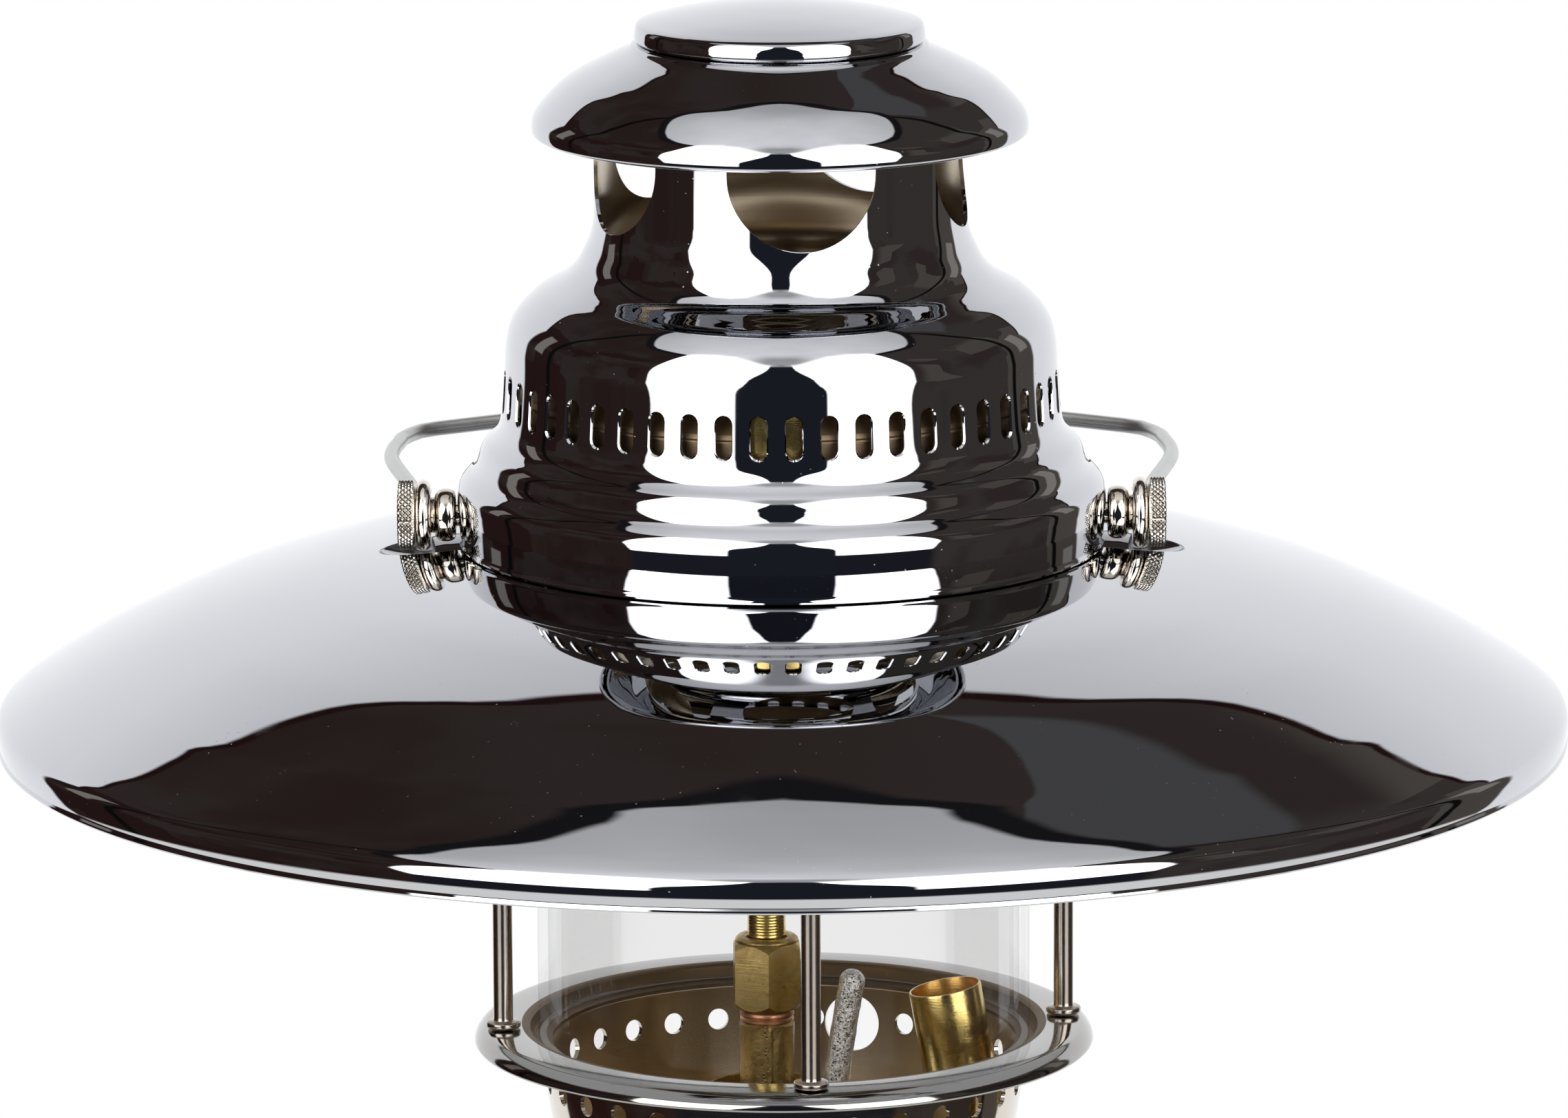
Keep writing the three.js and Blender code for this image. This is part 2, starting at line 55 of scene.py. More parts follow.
def foot_of(node):
    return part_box(node)[0].z / MM


def middle_of(node):
    low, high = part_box(node)
    return (low + high) / 2 / MM


PLATE = top_of("gallery_plate")
SHADE = PLATE + 103.2                 # the reflector's flat middle
RIM = foot_of("hood")
HINGE = middle_of("thumb_screw_left").z
BURNER = Vector((-3.6, 24, 0))        # axis of the riser, burner and vaporiser
SPINDLE = Vector((BURNER.x, BURNER.y, 118))
PUMP = Vector((0, -22, 38))
FILLER_BASE = Vector((-42.424, -50.559, 78))
FILLER_AXIS = Vector((-0.321394, -0.383022, 0.866025))
FILLER_SIDE = Vector((0.944644, -0.065973, 0.321394))
UP = Vector((0, 0, 1))
FRONT = Vector((0, -1, 0))
SHARP = math.radians(32)
KNURL_SHARP = math.radians(50)


def above(base, points):
    """The outline with its heights counted from a base."""
    return [(radius, base + height) for radius, height in points]


def added(name, data):
    """A new object, linked into the scene."""
    made = bpy.data.objects.new(name, data)
    bpy.context.scene.collection.objects.link(made)
    return made


# ---------- camera ----------
LENS = 290.8
PITCH = math.radians(11.71)
ROLL = math.radians(0.25)
CAMERA_SPOT = Vector((0.43, -2582, PLATE + 634))


def make_camera():
    data = bpy.data.cameras.new("camera")
    data.lens = LENS
    data.sensor_width = 36
    data.clip_start, data.clip_end = 0.1, 60
    camera = added("camera", data)
    bpy.context.scene.camera = camera
    ahead = Vector((0, math.cos(PITCH), -math.sin(PITCH)))
    upward = Vector((0, math.sin(PITCH), math.cos(PITCH)))
    sideways = Vector((1, 0, 0))
    rolled_up = upward * math.cos(ROLL) + sideways * math.sin(ROLL)
    rolled_side = sideways * math.cos(ROLL) - upward * math.sin(ROLL)
    turn = Matrix((rolled_side, rolled_up, -ahead)).transposed().to_4x4()
    camera.matrix_world = Matrix.Translation(CAMERA_SPOT * MM) @ turn


make_camera()


# ---------- shader node helpers ----------
class Graph:
    """Short ways to write shader nodes. A number or a socket goes in, and a socket comes out."""

    def __init__(self, tree):
        self.tree = tree
        self.nodes = tree.nodes
        self.nodes.clear()

    def new(self, kind, **settings):
        node = self.nodes.new("ShaderNode" + kind)
        for key, value in settings.items():
            setattr(node, key, value)
        return node

    def put(self, socket, value):
        if isinstance(value, bpy.types.NodeSocket):
            self.tree.links.new(value, socket)
        else:
            socket.default_value = value

    def fill(self, node, *values, **named):
        """Puts values in a node's inputs, in order and by name, and returns its outputs."""
        for socket, value in zip(node.inputs, values):
            self.put(socket, value)
        for key, value in named.items():
            self.put(node.inputs[key.replace("_", " ")], value)
        return node.outputs

    def maths(self, operation, *values, clamp=False):
        return self.fill(self.new("Math", operation=operation, use_clamp=clamp), *values)[0]

    def run(self, operation, values):
        total = values[0]
        for value in values[1:]:
            total = self.maths(operation, total, value)
        return total

    def add(self, *values):
        return self.run("ADD", values)

    def times(self, *values):
        return self.run("MULTIPLY", values)

    def less(self, a, b):
        return self.maths("SUBTRACT", a, b)

    def fade(self, value, start, end, low=0.0, high=1.0):
        """low before start, high after end, and smooth between them. start may be above end."""
        if isinstance(start, (int, float)) and start > end:
            start, end, low, high = end, start, high, low
        node = self.new("MapRange", interpolation_type="SMOOTHSTEP")
        return self.fill(node, value, start, end, low, high)[0]

    def band(self, value, start, in_full, still_full, end):
        """1 between in_full and still_full, 0 before start and after end."""
        return self.times(self.fade(value, start, in_full), self.fade(value, end, still_full))

    def bend(self, value, points):
        """A line of straight pieces through the given (value, result) points."""
        total = points[0][1]
        for (x0, y0), (x1, y1) in zip(points, points[1:]):
            step = self.fill(self.new("MapRange"), value, x0, x1, 0.0, y1 - y0)[0]
            total = self.add(total, step)
        return total

    def mix(self, share, a, b):
        """A mix of two colours."""
        node = self.new("Mix", data_type="RGBA")
        for index, value in ((0, share), (6, a), (7, b)):
            self.put(node.inputs[index], value)
        return node.outputs[2]

    def noise(self, where, scale, detail=2.0, rough=0.5, distortion=0.0):
        return self.fill(self.new("TexNoise"), Vector=where, Scale=scale, Detail=detail,
                         Roughness=rough, Distortion=distortion)["Fac"]

    def spots(self, where, scale):
        return self.fill(self.new("TexVoronoi"), Vector=where, Scale=scale)["Distance"]

    def place(self, scale=(1, 1, 1)):
        """Where a point is on the object, in metres, stretched."""
        spot = self.new("TexCoord").outputs["Object"]
        return self.fill(self.new("Mapping"), Vector=spot, Scale=scale)["Vector"]

    def bump(self, height, distance):
        return self.fill(self.new("Bump"), Strength=1.0, Distance=distance, Height=height)["Normal"]

    def parts(self, vector):
        """The x, y and z of a vector."""
        return self.fill(self.new("SeparateXYZ"), vector)[:3]

    def join(self, x, y, z=0.0):
        return self.fill(self.new("CombineXYZ"), x, y, z)[0]

    def blend(self, share, first, second):
        """A mix of two shaders."""
        return self.fill(self.new("MixShader"), share, first, second)[0]

    def show(self, shader, kind="OutputMaterial"):
        self.fill(self.new(kind), Surface=shader)


def grey(value):
    return (value, value, value, 1)


def darker(colour, share):
    return (*(c * share for c in colour[:3]), 1)


# ---------- studio ----------
# The room is painted by direction, so that the plating mirrors it the same way from anywhere:
# a broad soft light in front with a dark stand in its middle, a bright ceiling, a dark room at
# both sides, and a white sweep behind.
LIGHT_EDGE = 57.5        # degrees of azimuth from the front
LIGHT_LEVEL = 3.6
SWEEP_EDGE = 133.0


def make_studio():
    world = bpy.data.worlds.new("studio")
    bpy.context.scene.world = world
    world.use_nodes = True
    g = Graph(world.node_tree)
    coordinates = g.new("TexCoord")
    x, y, z = g.parts(coordinates.outputs["Generated"])
    azimuth = g.times(g.maths("ARCTAN2", x, g.times(y, -1.0)), 180 / math.pi)
    height = g.times(g.maths("ARCSINE", z), 180 / math.pi)
    away = g.maths("ABSOLUTE", azimuth)

    clouds = g.noise(coordinates.outputs["Generated"], 2.2, 3.0)
    side = g.fade(x, -0.35, 0.55)
    seen = g.mix(side, (0.030, 0.0185, 0.017, 1), (0.052, 0.045, 0.041, 1))
    seen = g.mix(g.fade(clouds, 0.45, 0.62), seen, (0.040, 0.031, 0.029, 1))
    plan = g.join(g.times(azimuth, 0.04), g.times(height, 0.05))
    blocks = g.fill(g.new("TexVoronoi", distance="CHEBYCHEV"), Vector=plan, Scale=1.1)["Color"]
    cell = g.fill(g.new("SeparateColor"), blocks)[0]
    things = g.times(g.fade(cell, 0.5, 0.56), g.fade(height, 42.0, 36.0), g.fade(away, 60.0, 66.0), 0.8)
    seen = g.mix(things, seen, g.mix(side, (0.024, 0.010, 0.010, 1), (0.105, 0.092, 0.080, 1)))
    # a pale cupboard, high up behind on the right
    board_end = g.less(163.2, g.times(g.less(height, 54.7), 1.6))
    board = g.times(g.fade(azimuth, 117.0, 119.0), g.fade(g.less(board_end, azimuth), -0.5, 0.5),
                    g.fade(height, 48.5, 50.5))
    seen = g.mix(board, seen, (0.080, 0.080, 0.082, 1))

    # door frames at the far sides
    seen = g.mix(g.band(away, 111.5, 112.5, 114.0, 115.0), seen, grey(0.006))
    pane = g.times(g.band(away, 119.0, 120.0, 126.0, 127.0), g.band(height, 3.0, 4.0, 23.0, 24.0))
    seen = g.mix(g.times(pane, 0.6), seen, (0.40, 0.38, 0.35, 1))

    # the pale table below the horizon, and the dark gap between it and the soft light
    seen = g.mix(g.fade(height, -22.5, -25.5), seen, (1.0, 1.0, 0.985, 1))
    lip = g.times(g.fade(away, 57.0, 53.0), g.band(height, -24.0, -22.0, -9.5, -8.0))
    seen = g.mix(lip, seen, (0.016, 0.017, 0.024, 1))

    # white sweep behind, with a thin dark line along its top edge
    from_back = g.less(180.0, away)
    sweep_top = g.less(45.0, g.times(from_back, from_back, 0.0105))
    below_top = g.less(sweep_top, height)
    edge = g.fade(g.add(away, g.times(side, 4.0)), SWEEP_EDGE, SWEEP_EDGE + 2.0)
    line = g.times(g.fade(below_top, -1.6, -1.0), edge)
    seen = g.mix(line, seen, (0.02, 0.008, 0.008, 1))
    sweep = g.times(g.fade(below_top, -0.3, 0.5), edge)
    bright = g.bend(height, [(5, 1.06), (25, 0.98), (45, 0.72)])
    seen = g.mix(sweep, seen, g.join(bright, g.times(bright, 1.01), g.times(bright, 1.035)))

    # ceiling, brighter towards the front
    ceiling_edge = g.bend(away, [(0, 40), (45, 50), (60, 56), (84, 56), (92, 57.4), (100, 59.3), (110, 61.8),
                                 (120, 64.6), (131, 66.9), (139, 68.5), (150, 69.6), (165, 69.0),
                                 (180, 67.6)])
    over_edge = g.less(height, ceiling_edge)
    level = g.times(g.add(0.80, g.times(y, -0.75)), g.fade(clouds, 0.3, 0.7, 0.90, 1.08))
    shade = g.times(g.fade(away, 26.0, 6.0), g.fade(height, 70.0, 56.0))
    level = g.times(level, g.add(1.0, g.times(shade, -0.62)))
    seen = g.mix(g.fade(over_edge, -3.4, -2.2), seen, (0.012, 0.011, 0.013, 1))
    seen = g.mix(g.fade(over_edge, -0.4, 0.5), seen, g.join(level, level, g.times(level, 1.02)))

    # soft light, fading into the ceiling, and the dark stand in front of it
    light_top = g.bend(away, [(0, 47), (8, 50), (18, 57), (30, 63), (45, 64), (58, 60)])
    light_edge = g.bend(height, [(-10, LIGHT_EDGE - 3.5), (6, LIGHT_EDGE)])
    light = g.times(g.fade(g.less(light_edge, away), -1.0, 0.6), g.fade(height, -9.5, -8.2),
                    g.fade(g.less(light_top, height), -1.0, 10.0))
    seen = g.mix(light, seen, grey(LIGHT_LEVEL))
    half = g.bend(height, [(-22, 19.5), (0, 19.2), (4, 18.7), (8, 17.7), (12, 16), (16, 13.8),
                           (21, 11.3), (27, 9), (35, 7), (50, 5), (64, 4)])
    stand = g.times(g.fade(g.less(half, away), -0.6, 0.9), g.band(height, -22.0, -20.0, 42.0, 50.0))
    seen = g.mix(stand, seen, (0.016, 0.018, 0.026, 1))

    shown = g.mix(g.new("LightPath").outputs["Is Camera Ray"], seen, grey(1.0))
    g.show(g.fill(g.new("Background"), Color=shown)[0], "OutputWorld")


def make_floor():
    mesh = bpy.data.meshes.new("floor")
    rings = [(0.0, 1), (0.25, 48), (0.6, 48), (1.2, 48), (3.0, 48), (9.0, 48)]
    verts, faces = [], []
    for radius, count in rings:
        for i in range(count):
            angle = 2 * math.pi * i / count
            verts.append((radius * math.sin(angle), -radius * math.cos(angle), -0.0004))
    for i in range(48):
        j = (i + 1) % 48
        faces.append((0, 1 + i, 1 + j))
        for ring in range(4):
            a = 1 + 48 * ring
            faces.append((a + i, a + 48 + i, a + 48 + j, a + j))
    mesh.from_pydata(verts, [], faces)
    floor = added("floor", mesh)
    floor.visible_glossy = False
    look = bpy.data.materials.new("floor_paper")
    look.use_nodes = True
    g = Graph(look.node_tree)
    where = g.place()
    far = g.fade(g.fill(g.new("VectorMath", operation="LENGTH"), where)["Value"], 0.22, 0.62)
    grain = g.noise(where, 900.0, 3.0)
    paper = g.fill(g.new("BsdfDiffuse"), Color=g.mix(grain, grey(0.70), grey(0.74)))[0]
    glow = g.fill(g.new("Emission"), Color=grey(1.0))[0]
    g.show(g.blend(far, paper, glow))
    mesh.materials.append(look)


def make_light():
    data = bpy.data.lights.new("soft_light", "AREA")
    data.shape = "DISK"
    data.size = 1.2
    data.energy = 14
    light = added("soft_light", data)
    light.location = (-0.9, -1.3, 1.9)
    aim = Vector((0, 0, 0.15)) - light.location
    light.rotation_mode = "QUATERNION"
    light.rotation_quaternion = aim.to_track_quat("-Z", "Y")
    light.visible_glossy = False
    light.visible_camera = False


make_studio()
make_floor()
make_light()
bpy.context.scene.view_settings.view_transform = "Standard"


# ---------- materials ----------
def surface(g, colour, roughness, metallic=1.0, normal=None):
    shader = g.new("BsdfPrincipled")
    g.fill(shader, Base_Color=colour, Roughness=roughness, Metallic=metallic)
    if normal is not None:
        g.put(shader.inputs["Normal"], normal)
    g.show(shader.outputs[0])
    return shader


def material(name):
    made = bpy.data.materials.new("look_" + name)
    made.use_nodes = True
    return made, Graph(made.node_tree)


def plated(name, colour, roughness, wave, dust, streak=0.0):
    """Bright plating: a slight wave in the sheet, polishing haze and specks of dust."""
    made, g = material(name)
    where = g.place()
    swell = g.noise(where, 22.0, 1.0)
    ripple = g.noise(where, 75.0, 1.0)
    normal = g.bump(g.add(swell, g.times(ripple, 0.16)), wave * MM)
    haze = g.fade(g.noise(g.place((1, 1, 0.25)), 60.0, 5.0, 0.65), 0.52, 0.74)
    specks = g.fade(g.spots(where, 430.0), 0.10, 0.055)
    rare = g.fade(g.noise(where, 60.0, 3.0), 0.50, 0.60)
    speck = g.times(specks, rare, 0.55 * dust)
    lines = g.fade(g.noise(g.place((1, 1, 40)), 120.0, 2.0), 0.55, 0.75)
    rough = g.add(roughness, g.times(haze, 0.035), g.times(speck, 0.5), g.times(lines, streak))
    tone = g.mix(g.noise(where, 9.0, 2.0), colour, darker(colour, 0.94))
    tone = g.mix(speck, tone, grey(0.72))
    surface(g, tone, rough, normal=normal)
    return made


def satin(name, colour, roughness):
    """Plating never polished: an even brown sheen with faint rolling lines."""
    made, g = material(name)
    lines = g.noise(g.place((0.2, 0.2, 9)), 130.0, 2.0)
    cloud = g.noise(g.place(), 30.0, 2.0)
    tone = g.mix(g.times(lines, 0.55), colour, darker(colour, 0.80))
    tone = g.mix(g.times(cloud, 0.3), tone, darker(colour, 0.86))
    surface(g, tone, roughness, normal=g.bump(lines, 0.02 * MM))
    return made


def knurled(name, colour, dark, roughness):
    """Plating on knurling: bright points, with painted shade darkening the grooves, which are also rougher.
    """
    made, g = material(name)
    where = g.place()
    # painted shade: the grooves, picked by their pointiness, take the near-black colour
    groove_shade = g.fade(g.new("NewGeometry").outputs["Pointiness"], 0.505, 0.46)
    tone = g.mix(groove_shade, colour, dark)
    grime = g.fade(g.noise(where, 300.0, 3.0), 0.45, 0.7)
    rough = g.add(roughness, g.times(groove_shade, 0.35), g.times(grime, 0.05))
    surface(g, tone, rough)
    return made


def bent_wire(name, eye, leg):
    """Bail wire: its eyes are rubbed bright by the bushes, and its arch is duller."""
    made, g = material(name)
    arch = g.fade(g.parts(g.place())[1], 6.0 * MM, 9.0 * MM)
    scuffs = g.fade(g.noise(g.place(), 500.0, 3.0), 0.5, 0.7)
    rough = g.add(0.09, g.times(arch, 0.30), g.times(scuffs, 0.05))
    surface(g, g.mix(arch, eye, leg), rough)
    return made


def turned_brass(name, colour, dark, roughness, stain, grain):
    """Bare brass: tool marks round the axis, brown stains and a dull skin."""
    made, g = material(name)
    where = g.place()
    marks = g.noise(g.place((1, 1, 55)), 60.0, 3.0, 0.6)
    pits = g.noise(where, 1500.0, 3.0, 0.6)
    normal = g.bump(g.add(g.times(marks, 0.6), g.times(pits, grain)), 0.05 * MM)
    patch = g.fade(g.noise(where, 120.0, 5.0, 0.62, 0.8), 0.42, 0.68)
    vein = g.fade(g.maths("ABSOLUTE", g.less(g.noise(where, 210.0, 2.0, 0.5, 1.6), 0.5)), 0.02, 0.0)
    tone = g.mix(g.times(patch, stain), colour, dark)
    tone = g.mix(g.times(vein, stain * 0.45), tone, darker(dark, 0.45))
    rough = g.add(roughness, g.times(patch, 0.14), g.times(pits, 0.06))
    surface(g, tone, rough, normal=normal)
    return made


def cast(name, colour, dark, roughness, metallic, scale, depth, seam=None):
    """A grained or cast skin: pits and lumps of one size with darker hollows. With a seam, the
    pits lie only along the line where the two halves of the mould met."""
    made, g = material(name)
    where = g.place()
    lumps = g.noise(where, scale, 4.0, 0.6)
    pits = g.fade(g.spots(where, scale * 1.6), 0.0, 0.42)
    if seam is not None:
        off = g.maths("ABSOLUTE", g.less(g.parts(where)[0], seam * MM))
        near = g.fade(off, 1.3 * MM, 0.2 * MM)
        pits = g.less(1.0, g.times(near, g.less(1.0, pits)))
    normal = g.bump(g.add(g.times(lumps, 0.7), g.times(pits, 0.5)), depth * MM)
    tone = g.mix(g.fade(g.times(pits, lumps), 0.12, 0.5), dark, colour)
    rough = g.add(roughness, g.times(lumps, 0.12))
    surface(g, tone, rough, metallic, normal)
    return made


def knitted(name):
    """Open knitted mantle cloth: loops in rows."""
    made, g = material(name)
    x, y, z = g.parts(g.new("TexCoord").outputs["Object"])
    turn = g.maths("ARCTAN2", x, y)
    columns = g.maths("SINE", g.times(turn, 66.0))
    rows = g.maths("SINE", g.add(g.times(z, 5200.0), g.times(columns, 1.1)))
    loops = g.times(columns, rows)
    normal = g.bump(loops, 0.16 * MM)
    fuzz = g.noise(g.place(), 2500.0, 3.0)
    tone = g.mix(g.fade(loops, -0.8, 0.6), (0.55, 0.53, 0.48, 1), (0.86, 0.85, 0.80, 1))
    tone = g.mix(g.times(fuzz, 0.3), tone, grey(0.9))
    shader = surface(g, tone, 0.95, 0.0, normal)
    shader.inputs["Sheen Weight"].default_value = 0.35
    return made


def pane(name, tint):
    """Thin clear glass: nearly all light goes straight through, and its edges look darker."""
    made, g = material(name)
    slope = g.maths("POWER", g.fill(g.new("LayerWeight"), Blend=0.5)["Facing"], 16.0)
    film = g.noise(g.place((1, 1, 0.3)), 25.0, 3.0)
    seen = g.mix(slope, g.mix(film, grey(tint), grey(tint - 0.012)), (0.80, 0.815, 0.81, 1))
    clear = g.fill(g.new("BsdfTransparent"), Color=seen)[0]
    ripple = g.bump(g.noise(g.place((1, 1, 0.4)), 16.0, 1.0), 0.12 * MM)
    gloss = g.fill(g.new("BsdfGlossy"), Roughness=0.015, Normal=ripple)[0]
    share = g.maths("MULTIPLY", g.fill(g.new("Fresnel"), IOR=1.42)[0], 0.13, clamp=True)
    g.show(g.blend(share, clear, gloss))
    return made


CHROME = plated("chrome", (0.585, 0.59, 0.612, 1), 0.012, 0.055, 1.0)
NICKEL = plated("nickel", (0.66, 0.60, 0.515, 1), 0.06, 0.03, 0.5, 0.06)
KNURLED = knurled("nickel_knurled", (0.90, 0.86, 0.79, 1), (0.06, 0.045, 0.03, 1), 0.16)
NICKEL_DULL = satin("nickel_dull", (0.60, 0.50, 0.365, 1), 0.27)
PLATE_NICKEL = plated("plate_nickel", (0.38, 0.37, 0.35, 1), 0.07, 0.05, 0.7, 0.02)
ROD_NICKEL = plated("rod_nickel", (0.46, 0.40, 0.345, 1), 0.20, 0.04, 0.3, 0.0)
CASING = plated("casing_nickel", (0.23, 0.165, 0.10, 1), 0.5, 0.03, 0.3, 0.05)
STEEL = plated("steel", (0.60, 0.585, 0.56, 1), 0.12, 0.03, 0.6, 0.12)
WIRE = bent_wire("plated_wire", (0.80, 0.74, 0.66, 1), (0.70, 0.70, 0.685, 1))
BRASS = turned_brass("brass", (0.62, 0.45, 0.17, 1), (0.33, 0.22, 0.085, 1), 0.27, 0.7, 0.4)
BRASS_BRIGHT = turned_brass("brass_bright", (0.74, 0.56, 0.20, 1), (0.50, 0.34, 0.09, 1), 0.15, 0.5,
                            0.15)
BRASS_HOT = turned_brass("brass_heated", (0.60, 0.36, 0.10, 1), (0.38, 0.17, 0.04, 1), 0.25, 0.8, 0.3)
BRASS_CAST = cast("cast_brass", (0.40, 0.29, 0.115, 1), (0.16, 0.11, 0.05, 1), 0.34, 1.0, 700.0, 0.30,
                  BURNER.x - 0.4)
COPPER = turned_brass("copper", (0.62, 0.34, 0.19, 1), (0.36, 0.17, 0.09, 1), 0.3, 0.6, 0.3)
SPOUT_STEEL = cast("pitted_tin", (0.74, 0.72, 0.69, 1), (0.12, 0.105, 0.09, 1), 0.07, 1.0, 1000.0, 0.9)
CERAMIC = cast("fired_clay", (0.82, 0.78, 0.69, 1), (0.66, 0.60, 0.50, 1), 0.85, 0.0, 1400.0, 0.08)
LEATHER = cast("pump_leather", (0.22, 0.12, 0.06, 1), (0.11, 0.055, 0.03, 1), 0.55, 0.0, 1100.0, 0.2)
RUBBER = cast("black_rubber", (0.035, 0.035, 0.036, 1), (0.02, 0.02, 0.02, 1), 0.6, 0.0, 2200.0, 0.05)
ENAMEL = cast("white_enamel", (0.84, 0.83, 0.78, 1), (0.80, 0.78, 0.72, 1), 0.28, 0.0, 400.0, 0.02)
INK = cast("black_ink", (0.03, 0.03, 0.035, 1), (0.02, 0.02, 0.02, 1), 0.5, 0.0, 1500.0, 0.01)
CLOTH = knitted("mantle_knit")
GLASS = pane("clear_glass", 0.962)


# ---------- outlines ----------
def polar(azimuth, radius=1.0, height=0.0):
    angle = math.radians(azimuth)
    return Vector((radius * math.sin(angle), -radius * math.cos(angle), height))


def flow(points, steps=4):
    """A smooth line through the points, with the given number of steps between each two."""
    points = [Vector(p) for p in points]
    padded = [2 * points[0] - points[1], *points, 2 * points[-1] - points[-2]]
    line = []
    for a, b, c, d in zip(padded, padded[1:], padded[2:], padded[3:]):
        for i in range(steps):
            t = i / steps
            line.append(0.5 * (2 * b + (c - a) * t + (2 * a - 5 * b + 4 * c - d) * t * t
                               + (3 * b - a - 3 * c + d) * t ** 3))
    line.append(points[-1])
    return [tuple(p) for p in line]


def soften(outline, radius, steps=3):
    """Rounds an outline's corners. A closed outline ends on its first point."""
    points = [Vector(p) for p in outline]
    closed = (points[0] - points[-1]).length < 1e-9
    if closed:
        points = points[:-1]
    count = len(points)
    result = []
    for i, point in enumerate(points):
        if not closed and i in (0, count - 1):
            result.append(tuple(point))
            continue
        before, after = points[i - 1] - point, points[(i + 1) % count] - point
        if before.angle(after) > math.radians(165):
            result.append(tuple(point))
            continue
        start = point + before.normalized() * min(radius, 0.45 * before.length)
        end = point + after.normalized() * min(radius, 0.45 * after.length)
        for k in range(steps + 1):
            t = k / steps
            result.append(tuple(start * (1 - t) ** 2 + point * 2 * t * (1 - t) + end * t * t))
    if closed:
        result.append(result[0])
    return result


def inward(outline, wall):
    """The outline moved towards the axis and the inside by the sheet's thickness, reversed."""
    points = [Vector(p) for p in outline]
    moved = []
    for i, point in enumerate(points):
        a, b = points[max(i - 1, 0)], points[min(i + 1, len(points) - 1)]
        along = (b - a).normalized()
        moved.append(tuple(point + Vector((-along.y, along.x)) * wall))
    return moved[::-1]


def rod(radius, low, high):
    return [(0, low), (radius, low), (radius, high), (0, high)]


def tube(inner, outer, low, high):
    """A closed outline of a plain ring or pipe."""
    return [(inner, low), (outer, low), (outer, high), (inner, high), (inner, low)]


def sheet_outline(outside, wall):
    """A closed outline of a thin sheet whose outer face is given from its foot to its top."""
    return [*outside, *inward(outside, wall), outside[0]]


# ---------- meshes ----------
def new_object(name, verts, faces):
    mesh = bpy.data.meshes.new(name)
    mesh.from_pydata([tuple(Vector(v) * MM) for v in verts], [], faces)
    return added(name, mesh)


def tidy(made, sharp=SHARP):
    """Turns a mesh's faces outward and shades it smooth, apart from its sharp edges."""
    bm = bmesh.new()
    bm.from_mesh(made.data)
    bmesh.ops.remove_doubles(bm, verts=bm.verts, dist=1e-7)
    bmesh.ops.recalc_face_normals(bm, faces=bm.faces)
    bm.to_mesh(made.data)
    bm.free()
    made.data.shade_smooth()
    made.data.set_sharp_from_angle(angle=sharp)
    return made


def lathe(outline, count, shift=None):
    """Vertices and faces of a solid of revolution about Z."""
    closed = math.dist(outline[0], outline[-1]) < 1e-9
    points = outline[:-1] if closed else outline
    verts, rows = [], []
    for radius, height in points:
        if radius < 1e-6:
            rows.append([len(verts)] * count)
            verts.append((0, 0, height))
            continue
        rows.append([len(verts) + i for i in range(count)])
        for i in range(count):
            angle = 2 * math.pi * i / count
            r = radius + (shift(angle, height, radius) if shift else 0)
            verts.append((r * math.sin(angle), -r * math.cos(angle), height))
    faces = []
    pairs = list(zip(rows, rows[1:])) + ([(rows[-1], rows[0])] if closed else [])
    for low, high in pairs:
        for i in range(count):
            j = (i + 1) % count
            face = [low[i], low[j], high[j], high[i]]
            face = [v for k, v in enumerate(face) if v != face[k - 1]]
            if len(face) > 2:
                faces.append(face)
    return verts, faces


def lay(direction, origin=(0, 0, 0), side=None):
    """The matrix that stands a piece made about +Z along a direction."""
    z = Vector(direction).normalized()
    if side is None:
        turn = UP.rotation_difference(z).to_matrix().to_4x4()
    else:
        x = Vector(side).normalized()
        turn = Matrix((x, z.cross(x), z)).transposed().to_4x4()
    return Matrix.Translation(Vector(origin)) @ turn


def in_metres(place):
    """A placing matrix given in millimetres, for a mesh in metres."""
    return Matrix.Scale(MM, 4) @ place @ Matrix.Scale(1 / MM, 4)


def turned(name, outline, count=72, place=None, shift=None, sharp=SHARP):
    verts, faces = lathe(outline, count, shift)
    if place is not None:
        verts = [place @ Vector(v) for v in verts]
    return tidy(new_object(name, verts, faces), sharp)


def swept(name, path, radius, sides=20, closed=False, shift=None):
    """A round bar along a path. radius is one number, or one for each point of the path."""
    path = [Vector(p) for p in path]
    count = len(path)
    radii = radius if isinstance(radius, (list, tuple)) else [radius] * count
    tangents = []
    for i in range(count):
        a = path[i - 1] if closed else path[max(i - 1, 0)]
        b = path[(i + 1) % count] if closed else path[min(i + 1, count - 1)]
        tangents.append((b - a).normalized())
    side = tangents[0].orthogonal().normalized()
    verts, faces = [], []
    for i in range(count):
        side = (side - tangents[i] * side.dot(tangents[i])).normalized()
        other = tangents[i].cross(side)
        for k in range(sides):
            angle = 2 * math.pi * k / sides
            r = radii[i] + (shift(angle, i) if shift else 0)
            verts.append(path[i] + (side * math.cos(angle) + other * math.sin(angle)) * r)
    for i in range(count if closed else count - 1):
        a, b = i * sides, ((i + 1) % count) * sides
        for k in range(sides):
            j = (k + 1) % sides
            faces.append((a + k, a + j, b + j, b + k))
    if not closed:
        faces.append(tuple(range(sides)))
        faces.append(tuple(range((count - 1) * sides, count * sides)))
    return tidy(new_object(name, verts, faces))


def lofted(name, loops):
    """A closed mesh through loops of equally many points."""
    count = len(loops[0])
    verts = [p for loop in loops for p in loop]
    faces = [tuple(range(count)), tuple(range(len(verts) - count, len(verts)))]
    for row in range(len(loops) - 1):
        for i in range(count):
            j = (i + 1) % count
            a, b = row * count, (row + 1) * count
            faces.append((a + i, a + j, b + j, b + i))
    return tidy(new_object(name, verts, faces))


